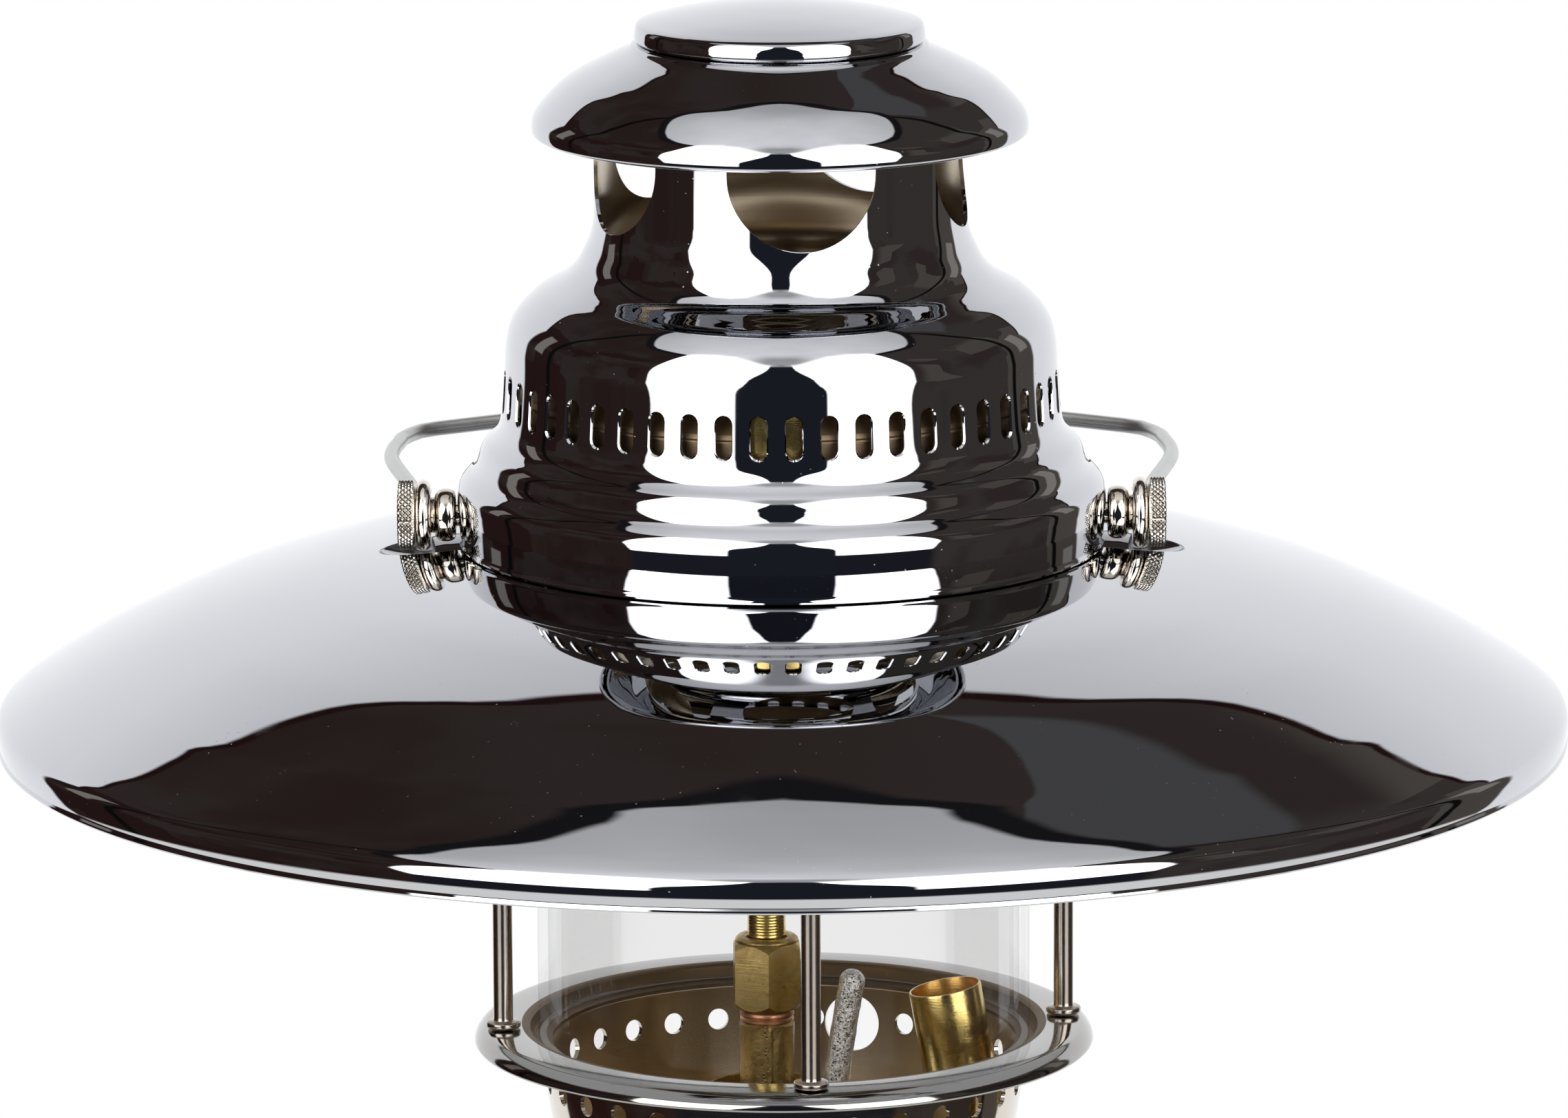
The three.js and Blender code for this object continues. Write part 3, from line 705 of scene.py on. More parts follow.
def block(name, low, high, bevel=0.6, segments=3):
    """A block with rounded edges."""
    bm = bmesh.new()
    bmesh.ops.create_cube(bm, size=1)
    size, middle = Vector(high) - Vector(low), (Vector(high) + Vector(low)) / 2
    for vert in bm.verts:
        vert.co = Vector(a * b for a, b in zip(vert.co, size)) + middle
    bmesh.ops.bevel(bm, geom=bm.edges[:], offset=bevel, segments=segments, affect="EDGES",
                    profile=0.6)
    verts, faces = [v.co.copy() for v in bm.verts], [[v.index for v in f.verts] for f in bm.faces]
    bm.free()
    return tidy(new_object(name, verts, faces))


def radial_loops(outlines, radii, azimuth, wall=None):
    """Loops of a prism pushed outward through a wall. Outlines are [sideways, height], and radii
    count from the wall's own radius at each height when it is given."""
    away = polar(azimuth)
    sideways = UP.cross(away)
    return [[away * (r + (wall(v) if wall else 0)) + sideways * u + UP * v for u, v in outline]
            for outline, r in zip(outlines, radii)]


def stadium(width, height, middle, steps=8):
    half, straight = width / 2, (height - width) / 2
    points = []
    for end in (0, 1):
        for i in range(steps + 1):
            angle = math.pi * (i / steps + end)
            points.append((half * math.cos(angle),
                           middle + (straight if end == 0 else -straight) + half * math.sin(angle)))
    return points


def disc_outline(radius, middle, count=20):
    return [(radius * math.cos(2 * math.pi * i / count),
             middle + radius * math.sin(2 * math.pi * i / count)) for i in range(count)]


def rectangle(width, low, high, side=0.0, corner=2.0):
    half = width / 2
    corners = tube(side - half, side + half, low, high)
    return soften(corners, corner, 4)[:-1]


def gathered(name, parts):
    """One object that holds the parts side by side. The parts are used up."""
    bm = bmesh.new()
    for part in parts:
        bm.from_mesh(part.data)
        bpy.data.objects.remove(part)
    bmesh.ops.recalc_face_normals(bm, faces=bm.faces)
    mesh = bpy.data.meshes.new(name)
    bm.to_mesh(mesh)
    bm.free()
    return added(name, mesh)


def evaluated_mesh(made):
    """A mesh of the object as its modifiers or its text make it."""
    bpy.context.view_layer.update()
    graph = bpy.context.evaluated_depsgraph_get()
    return bpy.data.meshes.new_from_object(made.evaluated_get(graph))


def combine(made, tools, operation="DIFFERENCE"):
    """Cuts the tools out of a piece, or keeps what they share. The tools are used up."""
    tool = gathered("tool", tools)
    modifier = made.modifiers.new("cut", "BOOLEAN")
    modifier.operation, modifier.solver, modifier.object = operation, "MANIFOLD", tool
    result = evaluated_mesh(made)
    made.modifiers.clear()
    made.data = result
    bpy.data.objects.remove(tool)
    made.data.shade_smooth()
    made.data.set_sharp_from_angle(angle=SHARP)
    return made


def true_normals(made, outline, slack=0.06):
    """Gives a cut solid of revolution the shading of its own outline, free of the cut's marks."""
    points = np.array(outline, float)
    step = np.diff(points, axis=0)
    keep = np.hypot(step[:, 0], step[:, 1]) > 1e-6
    start, step = points[:-1][keep], step[keep]
    length = np.hypot(step[:, 0], step[:, 1])
    flat = np.stack([step[:, 1], -step[:, 0]], 1) / length[:, None]
    closed = np.linalg.norm(points[0] - points[-1]) < 1e-9
    count = len(flat)
    ends = np.empty((count, 2, 2))
    for i in range(count):
        for side, other in ((0, i - 1), (1, i + 1)):
            near = flat[other % count] if closed or 0 <= other < count else flat[i]
            smooth = near @ flat[i] > math.cos(math.radians(26))
            total = flat[i] + near if smooth else flat[i]
            ends[i, side] = total / np.linalg.norm(total)
    mesh = made.data
    co = np.empty(len(mesh.vertices) * 3)
    mesh.vertices.foreach_get("co", co)
    co = co.reshape(-1, 3) / MM
    loops = np.empty(len(mesh.loops), int)
    mesh.loops.foreach_get("vertex_index", loops)
    kept = np.array([n.vector[:] for n in mesh.corner_normals])
    face_of = np.repeat(np.arange(len(mesh.polygons)), [p.loop_total for p in mesh.polygons])
    face_normal = np.array([p.normal[:] for p in mesh.polygons])[face_of]
    place = co[loops]
    radius = np.hypot(place[:, 0], place[:, 1])
    outward = place[:, :2] / np.maximum(radius, 1e-9)[:, None]
    facing = np.stack([(face_normal[:, :2] * outward).sum(1), face_normal[:, 2]], 1)
    spot = np.stack([radius, place[:, 2]], 1)
    result = kept.copy()
    for chunk in np.array_split(np.arange(len(spot)), max(1, len(spot) // 20000)):
        rel = spot[chunk, None, :] - start[None]
        t = np.clip((rel * step[None]).sum(2) / (length ** 2)[None], 0, 1)
        gap = np.linalg.norm(rel - t[..., None] * step[None], axis=2)
        agree = facing[chunk] @ flat.T
        for flip in (1.0, -1.0):
            cost = gap + np.where(agree * flip > 0.93, 0, 9.0)
            best = cost.argmin(1)
            rows = np.arange(len(chunk))
            fits = cost[rows, best] < slack
            tb = t[rows, best][:, None]
            normal = (ends[best, 0] * (1 - tb) + ends[best, 1] * tb) * flip
            full = np.concatenate([outward[chunk] * normal[:, :1], normal[:, 1:]], 1)
            full /= np.maximum(np.linalg.norm(full, axis=1), 1e-9)[:, None]
            result[chunk[fits]] = full[fits]
    mesh.normals_split_custom_set(result.tolist())
    return made


def piece(made, body, look, *nodes):
    """Hands a finished piece to the frame: its material, its body and the nodes it stands for."""
    made.data.materials.clear()
    made.data.materials.append(look)
    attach(made, body)
    if nodes:
        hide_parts(*nodes)
    return made


def second_look(made, look, chosen):
    """Gives another material to the faces that a test of centre and normal, in mm, picks."""
    made.data.materials.append(look)
    for face in made.data.polygons:
        if chosen(face.center / MM, face.normal):
            face.material_index = 1


def faces_axis(spot, normal):
    return spot.x * normal.x + spot.y * normal.y < -0.25 * math.hypot(spot.x, spot.y)


# ---------- surface patterns ----------
def knurl(count, pitch, depth, low, high):
    """Diamond knurling on the band between two heights."""
    def shift(angle, height, radius):
        if not low <= height <= high:
            return 0
        around = angle * count / (2 * math.pi)
        u, v = around + height / pitch, around - height / pitch
        tri = [1 - abs(2 * (w - math.floor(w)) - 1) for w in (u, v)]
        return depth * (min(tri) * 2 - 1)
    return shift


def flutes(count, depth, low, high):
    def shift(angle, height, radius):
        if not low <= height <= high:
            return 0
        return -depth * max(0.0, math.cos(angle * count)) ** 2
    return shift


def banded(low, high, rows):
    return [low + (high - low) * i / rows for i in range(rows + 1)]


# ---------- hood ----------
HOOD_SIDE = above(RIM, [
    (66.98, 0.75), (67.10, 2.6), (67.24, 4.6), (67.35, 6.2),
    (67.41, 7.6), (67.43, 9.0), (67.40, 10.3), (67.2, 11.6),
    (66.6, 12.8), (65.5, 14.0), (64.3, 15.1), (63.5, 16.4),
    (62.95, 17.9), (62.45, 19.3), (61.6, 20.6), (60.3, 21.8),
    (59.25, 23.1), (58.5, 24.8), (58.15, 26.8), (57.9, 29.3),
    (57.55, 35.1), (57.25, 40.7), (56.85, 43.4), (56.1, 46.0),
    (54.7, 48.4), (52.7, 50.6), (50.3, 52.6), (47.6, 54.2),
    (44.6, 56.1), (42.2, 58.7), (40.7, 61.6), (39.5, 64.4),
    (38.8, 67.6), (38.6, 71.5),
])
HOOD_TOP = PLATE + 201.6              # the chimney strips reach up to the mushroom cap
HOOD_WALL = 0.8
SLOT_TURN, SLOT_COUNT = 2.6, 50
SLOT_HEIGHT = PLATE + 135.6
WINDOWS = (7, 79, 151, -137, -65)
WINDOW_FOOT = PLATE + 170.5
WINDOW_HALF = 15.4
WINDOW_TOP = PLATE + 196


def bell_radius(height):
    return 57.9 - 0.057 * (height - RIM - 29.3)


def make_hood():
    bead = above(RIM, [(66.4, -0.3), (66.75, -0.42), (67.1, -0.3), (67.2, 0.05), (67.1, 0.4)])
    outside = bead + flow(HOOD_SIDE, 4) + [(38.6, HOOD_TOP - 0.4), (38.3, HOOD_TOP)]
    outline = sheet_outline(outside, HOOD_WALL)
    hood = turned("hood_shell", outline, 240)
    tools = []
    for i in range(SLOT_COUNT):
        azimuth = SLOT_TURN + i * 360 / SLOT_COUNT
        inner = stadium(3.3, 8.8, SLOT_HEIGHT)
        outer = stadium(3.95, 9.45, SLOT_HEIGHT)
        tools.append(lofted("tool", radial_loops([inner, inner, outer, outer],
                                                 (-6, -0.38, 0.03, 5), azimuth, bell_radius)))
    for azimuth in WINDOWS:
        middle = WINDOW_FOOT + WINDOW_HALF
        bowl = [(WINDOW_HALF, WINDOW_TOP)]
        for k in range(37):
            angle = math.pi * k / 36
            bowl.append((WINDOW_HALF * math.cos(angle), middle - WINDOW_HALF * math.sin(angle)))
        bowl.append((-WINDOW_HALF, WINDOW_TOP))
        tools.append(lofted("tool", radial_loops([bowl, bowl], (20, 46), azimuth)))
    for azimuth in (90, -90):
        notch = rectangle(6.4, RIM - 3, HINGE + 3.2, 0.0, 1.5)
        tools.append(lofted("tool", radial_loops([notch, notch], (60, 72), azimuth)))
    combine(hood, tools)
    true_normals(hood, outline)
    piece(hood, "root", CHROME, "hood")
    # inside the bell and the chimney the plating is dull
    second_look(hood, NICKEL_DULL,
                lambda spot, normal: faces_axis(spot, normal) and spot.z > RIM + 26)


# ---------- caps ----------
def make_caps():
    outside = flow([
        (50.5, 189.35), (51.0, 189.3), (51.35, 189.6), (51.48, 190.1),
        (51.5, 190.85), (51.4, 191.75), (51.1, 192.79), (50.5, 193.9),
        (49.7, 194.98), (48.5, 196.37), (47.0, 197.91), (45.5, 199.26),
        (44.0, 200.39), (42.0, 201.61), (40.0, 202.68), (36.0, 204.65),
        (33.6, 205.77), (32.2, 206.45), (31.3, 207.0), (30.6, 207.7),
        (29.6, 208.1),
    ], 5) + [(0, 208.1)]
    inside = [(0, 207.2), (24, 207.1)] + flow([
        (28.6, 206.8), (31.2, 206.1), (34.1, 204.6), (38, 202.6),
        (41.6, 200.7), (43.6, 199.5), (46.0, 197.3), (48.0, 195.0),
        (49.5, 192.9), (50.3, 190.6), (50.2, 189.9)], 4)
    outline = above(PLATE, outside + inside + [outside[0]])
    cap = turned("mushroom_shell", outline, 192)
    true_normals(cap, outline)
    piece(cap, "root", CHROME, "mushroom_cap")
    disc = above(PLATE + 208.2, [(0, 0), (28.9, 0)] + flow([
        (29.6, 0.15), (30.1, 0.6), (30.18, 1.1), (30.12, 1.7),
        (30.02, 2.4), (29.85, 3.1), (29.5, 3.7), (28.8, 4.05)], 4) + flow([
            (27.5, 4.4), (22, 5.7), (15, 6.9), (8, 7.68), (3, 7.96)], 4) + [(0, 8.0)])
    plate = turned("top_plate", disc, 160)
    true_normals(plate, disc)
    piece(plate, "root", CHROME, "top_disc")


# ---------- reflector ----------
SHADE_SIDE = [
    (57, 0), (62, -0.05), (66, -0.25), (70, -0.6), (75, -1.15), (82, -2.15), (89, -3.4),
    (98, -5.35), (106.7, -7.75), (116, -10.6), (124.5, -13.6), (134.3, -17.9), (144.6, -23.0),
    (149.5, -25.75), (154.5, -28.75), (158.5, -31.3), (161.2, -33.25), (162.5, -34.35),
    (163.3, -35.4), (163.68, -36.7), (163.7, -38.2), (163.55, -39.6), (163.35, -40.5),
]


def make_reflector():
    side = flow(above(SHADE, SHADE_SIDE), 4)
    outside = [(56.2, SHADE - 0.2)] + side
    bead = above(SHADE, [(163.35, -40.7), (163.6, -41.1), (163.62, -41.5), (163.35, -41.85),
                         (162.9, -41.95), (162.3, -41.8), (162.1, -41.3)])
    under = flow([(r - 0.9 * min(1, -z / 25), SHADE + z - 0.95) for r, z in SHADE_SIDE[:-4]], 4)
    outline = outside + bead + under[::-1] + [(56.2, SHADE - 0.8), outside[0]]
    shade = turned("reflector_shell", outline, 288)
    tools = []
    for direction in (1, -1):
        rim = [Vector((direction * x, y, 0)) for x, y in dent_outline()]
        tools.append(lofted("tool", [[p + UP * h for p in rim] for h in (SHADE - 8, SHADE + 4)]))
    combine(shade, tools)
    true_normals(shade, outline)
    piece(shade, "root", CHROME, "reflector")
    for name, direction in (("left", -1), ("right", 1)):
        make_dent(name, direction)


def shade_height(radius):
    for (r0, z0), (r1, z1) in zip(SHADE_SIDE, SHADE_SIDE[1:]):
        if r0 <= radius <= r1:
            return SHADE + z0 + (z1 - z0) * (radius - r0) / (r1 - r0)
    return SHADE


DENT_MIDDLE, DENT_LENGTH, DENT_HALF, DENT_DEPTH = 70.5, 13.4, 8.9, 3.5
DENT_START = 64.9


def dent_outline(steps=48):
    """A dent's rim in plan: straight sides that come out of the hood, then half an ellipse."""
    rim = [(DENT_START, -DENT_HALF)]
    for k in range(steps + 1):
        angle = math.radians(-90 + 180 * k / steps)
        rim.append((DENT_MIDDLE + DENT_LENGTH * math.cos(angle), DENT_HALF * math.sin(angle)))
    return rim + [(DENT_START, DENT_HALF)]


def dent_drop(x, y):
    """How far a dent lies below the reflector. Past its rim it tucks into the sheet."""
    along = max(0.0, (x - DENT_MIDDLE) / DENT_LENGTH)
    reach = along ** 2 + (y / DENT_HALF) ** 2
    if reach > 1:
        return 0.02 + min(0.3, 4 * (math.sqrt(reach) - 1))
    return 0.02 + DENT_DEPTH * (1 - reach) ** 0.85


def make_dent(name, direction):
    """The spoon-shaped pan pressed into the reflector under a thumb screw."""
    steps, rows, over = 48, 44, 1.05
    top, low = [], []
    for row in range(rows + 1):
        turn = math.radians(-24 + 112.5 * row / rows)
        x = DENT_MIDDLE + DENT_LENGTH * over * math.sin(turn)
        half = DENT_HALF * over * (math.cos(turn) if turn > 0 else 1)
        for k in range(steps + 1):
            y = half * math.sin(math.radians(-90 + 180 * k / steps))
            z = shade_height(math.hypot(x, y)) - dent_drop(x, y)
            top.append((direction * x, y, z))
            low.append((direction * x, y, z - 0.6))
    faces = []
    width, layer = steps + 1, len(top)
    for row in range(rows):
        for k in range(steps):
            a = row * width + k
            faces.append((a, a + 1, a + width + 1, a + width))
            faces.append((layer + a, layer + a + width, layer + a + width + 1, layer + a + 1))
    edge = [*range(width), *(r * width + steps for r in range(1, rows + 1)),
            *(rows * width + k for k in range(steps - 1, -1, -1)),
            *(r * width for r in range(rows - 1, 0, -1))]
    for a, b in zip(edge, edge[1:] + edge[:1]):
        faces.append((a, b, b + layer, a + layer))
    dent = tidy(new_object(f"reflector_dent_{name}", top + low, faces), math.radians(60))
    piece(dent, "root", CHROME)


# ---------- inner casing ----------
def make_casing():
    shoulder = PLATE + 136
    outside = [(62.8, RIM + 0.1), (62.9, RIM + 0.9), (54.6, RIM + 0.95), (54.1, RIM + 1.6),
               (54.0, RIM + 6), (54.0, shoulder - 3.2), (54.35, shoulder - 2.4),
               (54.35, shoulder - 1.5), (53.9, shoulder - 0.5), (52.6, shoulder + 0.8),
               (42.2, PLATE + 149.8)]
    outline = sheet_outline(flow(outside, 3), 0.7)
    casing = turned("inner_casing_shell", outline, 160)
    true_normals(casing, outline)
    piece(casing, "root", CASING, "inner_casing")
    # painted highlight: a bright brass sheet just outside the casing, behind the front slots only, stands in
    # for the light seen through them
    strip = []
    for azimuth in [-8 + 14.6 * i / 24 for i in range(25)]:
        strip.append([polar(azimuth, r, h) for r, h in
                      tube(54.7, 55.2, PLATE + 126, PLATE + 144)[:4]])
    piece(lofted("painted_highlight_strip", strip), "root", BRASS_BRIGHT)


# ---------- thumb screws, bushes, bail ----------
def make_side(name, direction):
    place = lay((direction, 0, 0), (0, 0, HINGE))
    head = [(0, 76.2), (6.3, 76.2), (6.75, 76.4)]
    head += [(7.1, z) for z in banded(76.6, 79.6, 24)]
    head += [(6.75, 79.8), (6.3, 79.95), (4.6, 79.95), (4.2, 79.6), (0, 79.55)]
    shank = [(0, 57.2), (1.9, 57.2), (2.35, 57.8), (2.35, 75.9), (3.2, 76.0), (3.4, 76.2), (0, 76.25)]
    head = turned(f"thumb_screw_{name}_head", head, 300, place, knurl(36, 1.25, 0.3, 76.55, 79.65),
                  KNURL_SHARP)
    piece(head, f"screw_{name}", KNURLED, f"thumb_screw_{name}")
    piece(turned(f"thumb_screw_{name}_shank", shank, 40, place), f"screw_{name}", NICKEL)
    bush = flow([(2.85, 67.7), (4.2, 67.75), (5.1, 68.2), (5.45, 69.1), (5.5, 70.1), (5.3, 71.1),
                 (4.6, 71.9), (3.75, 72.25)], 4)
    neck = [(3.65, 72.9), (3.65, 76.0), (3.5, 76.15), (2.85, 76.15)]
    outline = bush + neck + [bush[0]]
    piece(turned(f"bail_bush_{name}_barrel", outline, 64, place), "root", NICKEL,
          f"bail_bush_{name}")
    bracket = tube(2.8, 3.8, 54.6, 65.6)
    piece(turned(f"screw_bracket_{name}_sleeve", soften(bracket, 0.3), 32, place), "root", STEEL,
          f"screw_bracket_{name}")


EYE_X, EYE_RADIUS, WIRE_RADIUS = 74.5, 5.85, 1.58


def bail_half(side):
    points = []
    for k in range(25):
        angle = math.radians(40 + 292 * k / 24)
        points.append((side * EYE_X, EYE_RADIUS * math.cos(angle), HINGE + EYE_RADIUS * math.sin(angle)))
    leg = [(EYE_X, 9.5), (EYE_X + 0.5, 14), (78.6, 34), (82.4, 56), (82.9, 68), (81.2, 82)]
    points += flow([(side * x, y, HINGE) for x, y in leg], 5)
    for x in (77.5, 70, 60, 50, 40, 30, 20, 10):
        points.append((side * x, -12.5 + math.sqrt(129 ** 2 - x * x), HINGE))
    return points


def make_bail():
    line = [*bail_half(-1), (0, 116.5, HINGE), *bail_half(1)[::-1]]
    smooth = flow(line, 2)
    radii = [WIRE_RADIUS] * len(smooth)
    radii[0] = radii[-1] = WIRE_RADIUS * 0.7
    piece(swept("bail_wire", smooth, radii, 18), "bail", WIRE, "bail")


# ---------- frame ----------
ROD_TURN, ROD_CIRCLE = 5.4, 59


def make_frame():
    foot = soften(above(PLATE + 0.3, [(0, 0), (3.5, 0), (3.65, 0.3), (3.65, 1.05), (3.35, 1.35),
                                      (2.1, 1.45), (2.05, 2.2)]), 0.12)
    post = foot + above(SHADE, [(2.05, -5.4), (1.7, -5.0), (0, -5.0)])
    for side, quarter in (("front", 0), ("right", 90), ("rear", 180), ("left", -90)):
        place = Matrix.Translation(polar(ROD_TURN + quarter, ROD_CIRCLE))
        piece(turned(f"frame_rod_{side}_post", post, 40, place), "root", ROD_NICKEL, f"frame_rod_{side}")
    ring = soften(tube(55, 63, SHADE - 4.7, SHADE - 1.3), 0.6)
    piece(turned("frame_ring", ring, 128), "root", NICKEL, "frame_top_ring")
    plate = flow([(53.2, -0.6), (53.9, -0.1), (55.0, 0.02)], 3) + flow([
        (61.2, 0), (62.6, -0.25), (63.7, -0.95), (64.5, -2.0), (64.85, -3.1), (64.7, -3.6)], 4)
    plate += [(64.1, -3.75), (63.7, -3.3)] + flow([(63.1, -2.1), (62.2, -1.2), (60.8, -0.95)], 3)
    plate += [(54.6, -1.0), (53.7, -1.6), (53.4, -3.7), (48.6, -4.0), (48.6, -3.2), (52.4, -3.0),
              (52.8, -2.4), plate[0]]
    plate = above(PLATE, plate)
    gallery = turned("gallery_ring", plate, 192)
    true_normals(gallery, plate)
    piece(gallery, "root", PLATE_NICKEL, "gallery_plate")
    second_look(gallery, CASING, lambda spot, normal: math.hypot(spot.x, spot.y) < 56)
    make_basket()
    collar = flow([(50, 88.5), (49.6, 95), (48.3, 112), (46.9, 131), (46.1, 143.2)], 4)
    outline = sheet_outline([(50.6, 88.35), (50.5, 88.9), *collar], 1.1)
    shell = turned("frame_collar_shell", outline, 160)
    cuts = [(0, rectangle(26, 103, 133, BURNER.x, 4)), (0, rectangle(12, 124, 139, 26, 2.5))]
    cuts += [(azimuth, rectangle(30, 100, 132, 0, 6)) for azimuth in (90, 180, -90)]
    combine(shell, [lofted("tool", radial_loops([shape, shape], (20, 60), azimuth))
                    for azimuth, shape in cuts])
    true_normals(shell, outline)
    piece(shell, "root", NICKEL, "frame_collar")
    glass = soften(tube(49.3, 51.5, PLATE - 2.7, PLATE + 108.3), 0.9, 4)
    piece(turned("glass_tube", glass, 160), "root", GLASS, "glass_cylinder")


def make_basket():
    outside = flow([(45.2, -32), (46.6, -27.5), (48.3, -22.5), (49.6, -15.5), (50.15, -9),
                    (50.2, -4.4)], 5)
    outline = sheet_outline(above(PLATE, outside), 0.9)
    basket = turned("air_basket_shell", outline, 180)
    tools = []
    for azimuth in [4.6 + 12 * i for i in range(30)]:
        if abs(azimuth - 162) > 10:
            hole = disc_outline(2.25, PLATE - 11.2)
            tools.append(lofted("tool", radial_loops([hole, hole], (40, 60), azimuth)))
    hole = disc_outline(6.0, PLATE - 12, 40)
    tools.append(lofted("tool", radial_loops([hole, hole], (40, 60), 162.7)))
    combine(basket, tools)
    true_normals(basket, outline)
    piece(basket, "root", NICKEL, "air_basket")
    second_look(basket, NICKEL_DULL, faces_axis)


# ---------- burner, vaporiser, preheater ----------
def hexagon(name, corner, low, high, turn, place, chamfer, bore):
    """A hexagon nut: a prism trimmed by a turned outline, with a hole through it."""
    loops = []
    for z in (low, high):
        loops.append([polar(turn + 60 * i, corner, z) for i in range(6)])
    prism = lofted("prism", loops)
    flat = corner * math.cos(math.pi / 6)
    trim = [(0, low - 0.01), (flat - 0.15, low - 0.01), (corner + 0.05, low + chamfer),
            (corner + 0.05, high - chamfer), (flat - 0.15, high + 0.01), (0, high + 0.01)]
    combine(prism, [turned("tool", trim, 96)], "INTERSECT")
    combine(prism, [turned("tool", rod(bore, low - 2, high + 2), 64)])
    prism.name = name
    prism.data.transform(in_metres(place))
    return prism


def grooved(radius, low, high, pitch, depth):
    outline, z = [], low
    while z < high - 1e-6:
        outline += [(radius, z), (radius, z + pitch * 0.55), (radius - depth, z + pitch * 0.78)]
        z += pitch
    return outline + [(radius, high)]


def make_burner():
    at_burner = Matrix.Translation(BURNER)
    neck = soften([(8.3, 88.3), (13, 88.3), (13, 95.5), (12.4, 97.7), (8.3, 97.7), (8.3, 88.3)], 0.5)
    piece(turned("burner_neck_ring", neck, 64, at_burner, flutes(24, 0.35, 90, 95)), "root", BRASS,
          "burner_neck")
    riser = tube(1.8, 4, 12, 83.7)
    piece(turned("riser_pipe", soften(riser, 0.3), 32, at_burner), "root", BRASS, "riser_tube")
    body = soften([(1.8, 84), (8, 84), (8, 98), (12, 98), (12, 104), (9, 106), (9, 111), (10.5, 111),
                   (10.5, 126), (1.8, 126), (1.8, 84)], 0.7)
    column = turned("burner_casting", body, 64, at_burner)
    bore = turned("tool", rod(2.9, 4, 14), 40, lay(FRONT, SPINDLE))
    piece(combine(column, [bore]), "root", BRASS_CAST, "burner_body")
    piece(turned("needle_rod", soften([(0, 14), (0.9, 14), (0.9, 268), (0.3, 271), (0, 271)], 0.2), 16,
                 at_burner), "needle", STEEL, "control_rod")
    piece(hexagon("spindle_gland_nut", 6.5, 10.8, 18, 0, lay(FRONT, SPINDLE), 0.9, 3.4), "root",
          BRASS_BRIGHT, "spindle_gland")
    spindle = soften([(0, 7), (2.6, 7), (2.6, 40), (2.4, 41), (2.6, 42), (2.6, 86), (0, 86)], 0.3)
    piece(turned("spindle_bar", spindle, 32, lay(FRONT, SPINDLE)), "wheel", STEEL, "control_spindle")
    wheel = [(0, 86.3), (4, 86.3), (5, 87.2), (9, 87.9), (13.6, 87.4), (14.6, 87.9)]
    wheel += [(15, z) for z in banded(88.4, 93.8, 6)]
    wheel += [(14.5, 94.6), (13.4, 95), (11, 94.2), (8, 93.4), (5.2, 94.4), (4.4, 95.4), (0, 95.5)]
    piece(turned("hand_wheel_disc", soften(wheel, 0.4), 288, lay(FRONT, SPINDLE),
                 flutes(36, 0.9, 87.6, 94.8), math.radians(45)), "wheel", NICKEL, "hand_wheel")


def make_vaporiser():
    at_burner = Matrix.Translation(BURNER)
    lower = flow([(8.5, 126.4), (8.6, 131.2), (7.6, 133.2), (5.85, 134.6), (5.75, 150), (5.8, 168.6)], 5)
    lower = flow([(1.8, 126.3)] + lower + [(5.55, 170), (1.8, 170), (1.8, 126.3)], 3)
    seam = math.radians(8)

    def ridge(angle, height, radius):
        off = (angle - seam + math.pi) % (2 * math.pi) - math.pi
        rough = 0.5 + 0.5 * math.sin(height * 7.3) * math.sin(height * 3.1 + 1.0)
        lumps = 0.05 * math.sin(angle * 9 + height * 1.7) * math.sin(height * 2.3)
        return (0.42 * math.exp(-(off / 0.06) ** 2) * rough + lumps) if radius > 5 else 0
    piece(turned("vaporiser_casting", lower, 180, at_burner, ridge), "root", BRASS_CAST,
          "vaporiser_body")
    rings = [(1.8, 170.3), (5.45, 170.3), (5.7, 170.6), (5.7, 171.1), (5.4, 171.4), (5.75, 171.8),
             (5.75, 172.3), (5.5, 172.7), (5.2, 173.0), (1.8, 173.0), (1.8, 170.3)]
    piece(turned("vaporiser_seal", rings, 96, at_burner), "root", COPPER, "vaporiser_washer")
    nut = hexagon("vaporiser_nut_body", 7.95, 173.3, 187.6, 3, at_burner, 1.5, 1.8)
    piece(nut, "root", BRASS, "vaporiser_nut")
    lip = soften([(4.2, 187.5), (6.6, 187.5), (6.7, 188.1), (6.1, 188.7), (4.7, 188.75), (4.3, 188.4),
                  (4.2, 187.5)], 0.2)
    piece(turned("vaporiser_nut_lip", lip, 96, at_burner), "root", BRASS)
    stem = grooved(4.05, 188.9, 262, 0.62, 0.07) + [(2.6, 267), (2.4, 273), (1.8, 273)]
    outline = [(1.8, 188.9)] + stem + [(1.8, 188.9)]
    piece(turned("vaporiser_stem", outline, 96, at_burner, None, math.radians(60)), "root",
          BRASS_BRIGHT, "vaporiser_tube")
    behind = 180 - math.degrees(math.atan2(BURNER.x, BURNER.y))
    reach = BURNER.length
    loop = [polar(behind + 7.5 * i, reach, PLATE + 76 + 8.4 * i / 48) for i in range(49)]
    piece(swept("vaporiser_loop", loop, 2.6, 20), "root", BRASS)
    cup = soften([(5.95, 150), (13, 150), (13, 156), (12.2, 156), (12.2, 151), (5.95, 151),
                  (5.95, 150)], 0.35)
    piece(turned("spirit_cup_dish", cup, 64, at_burner), "root", BRASS, "spirit_cup")
    make_mixer()


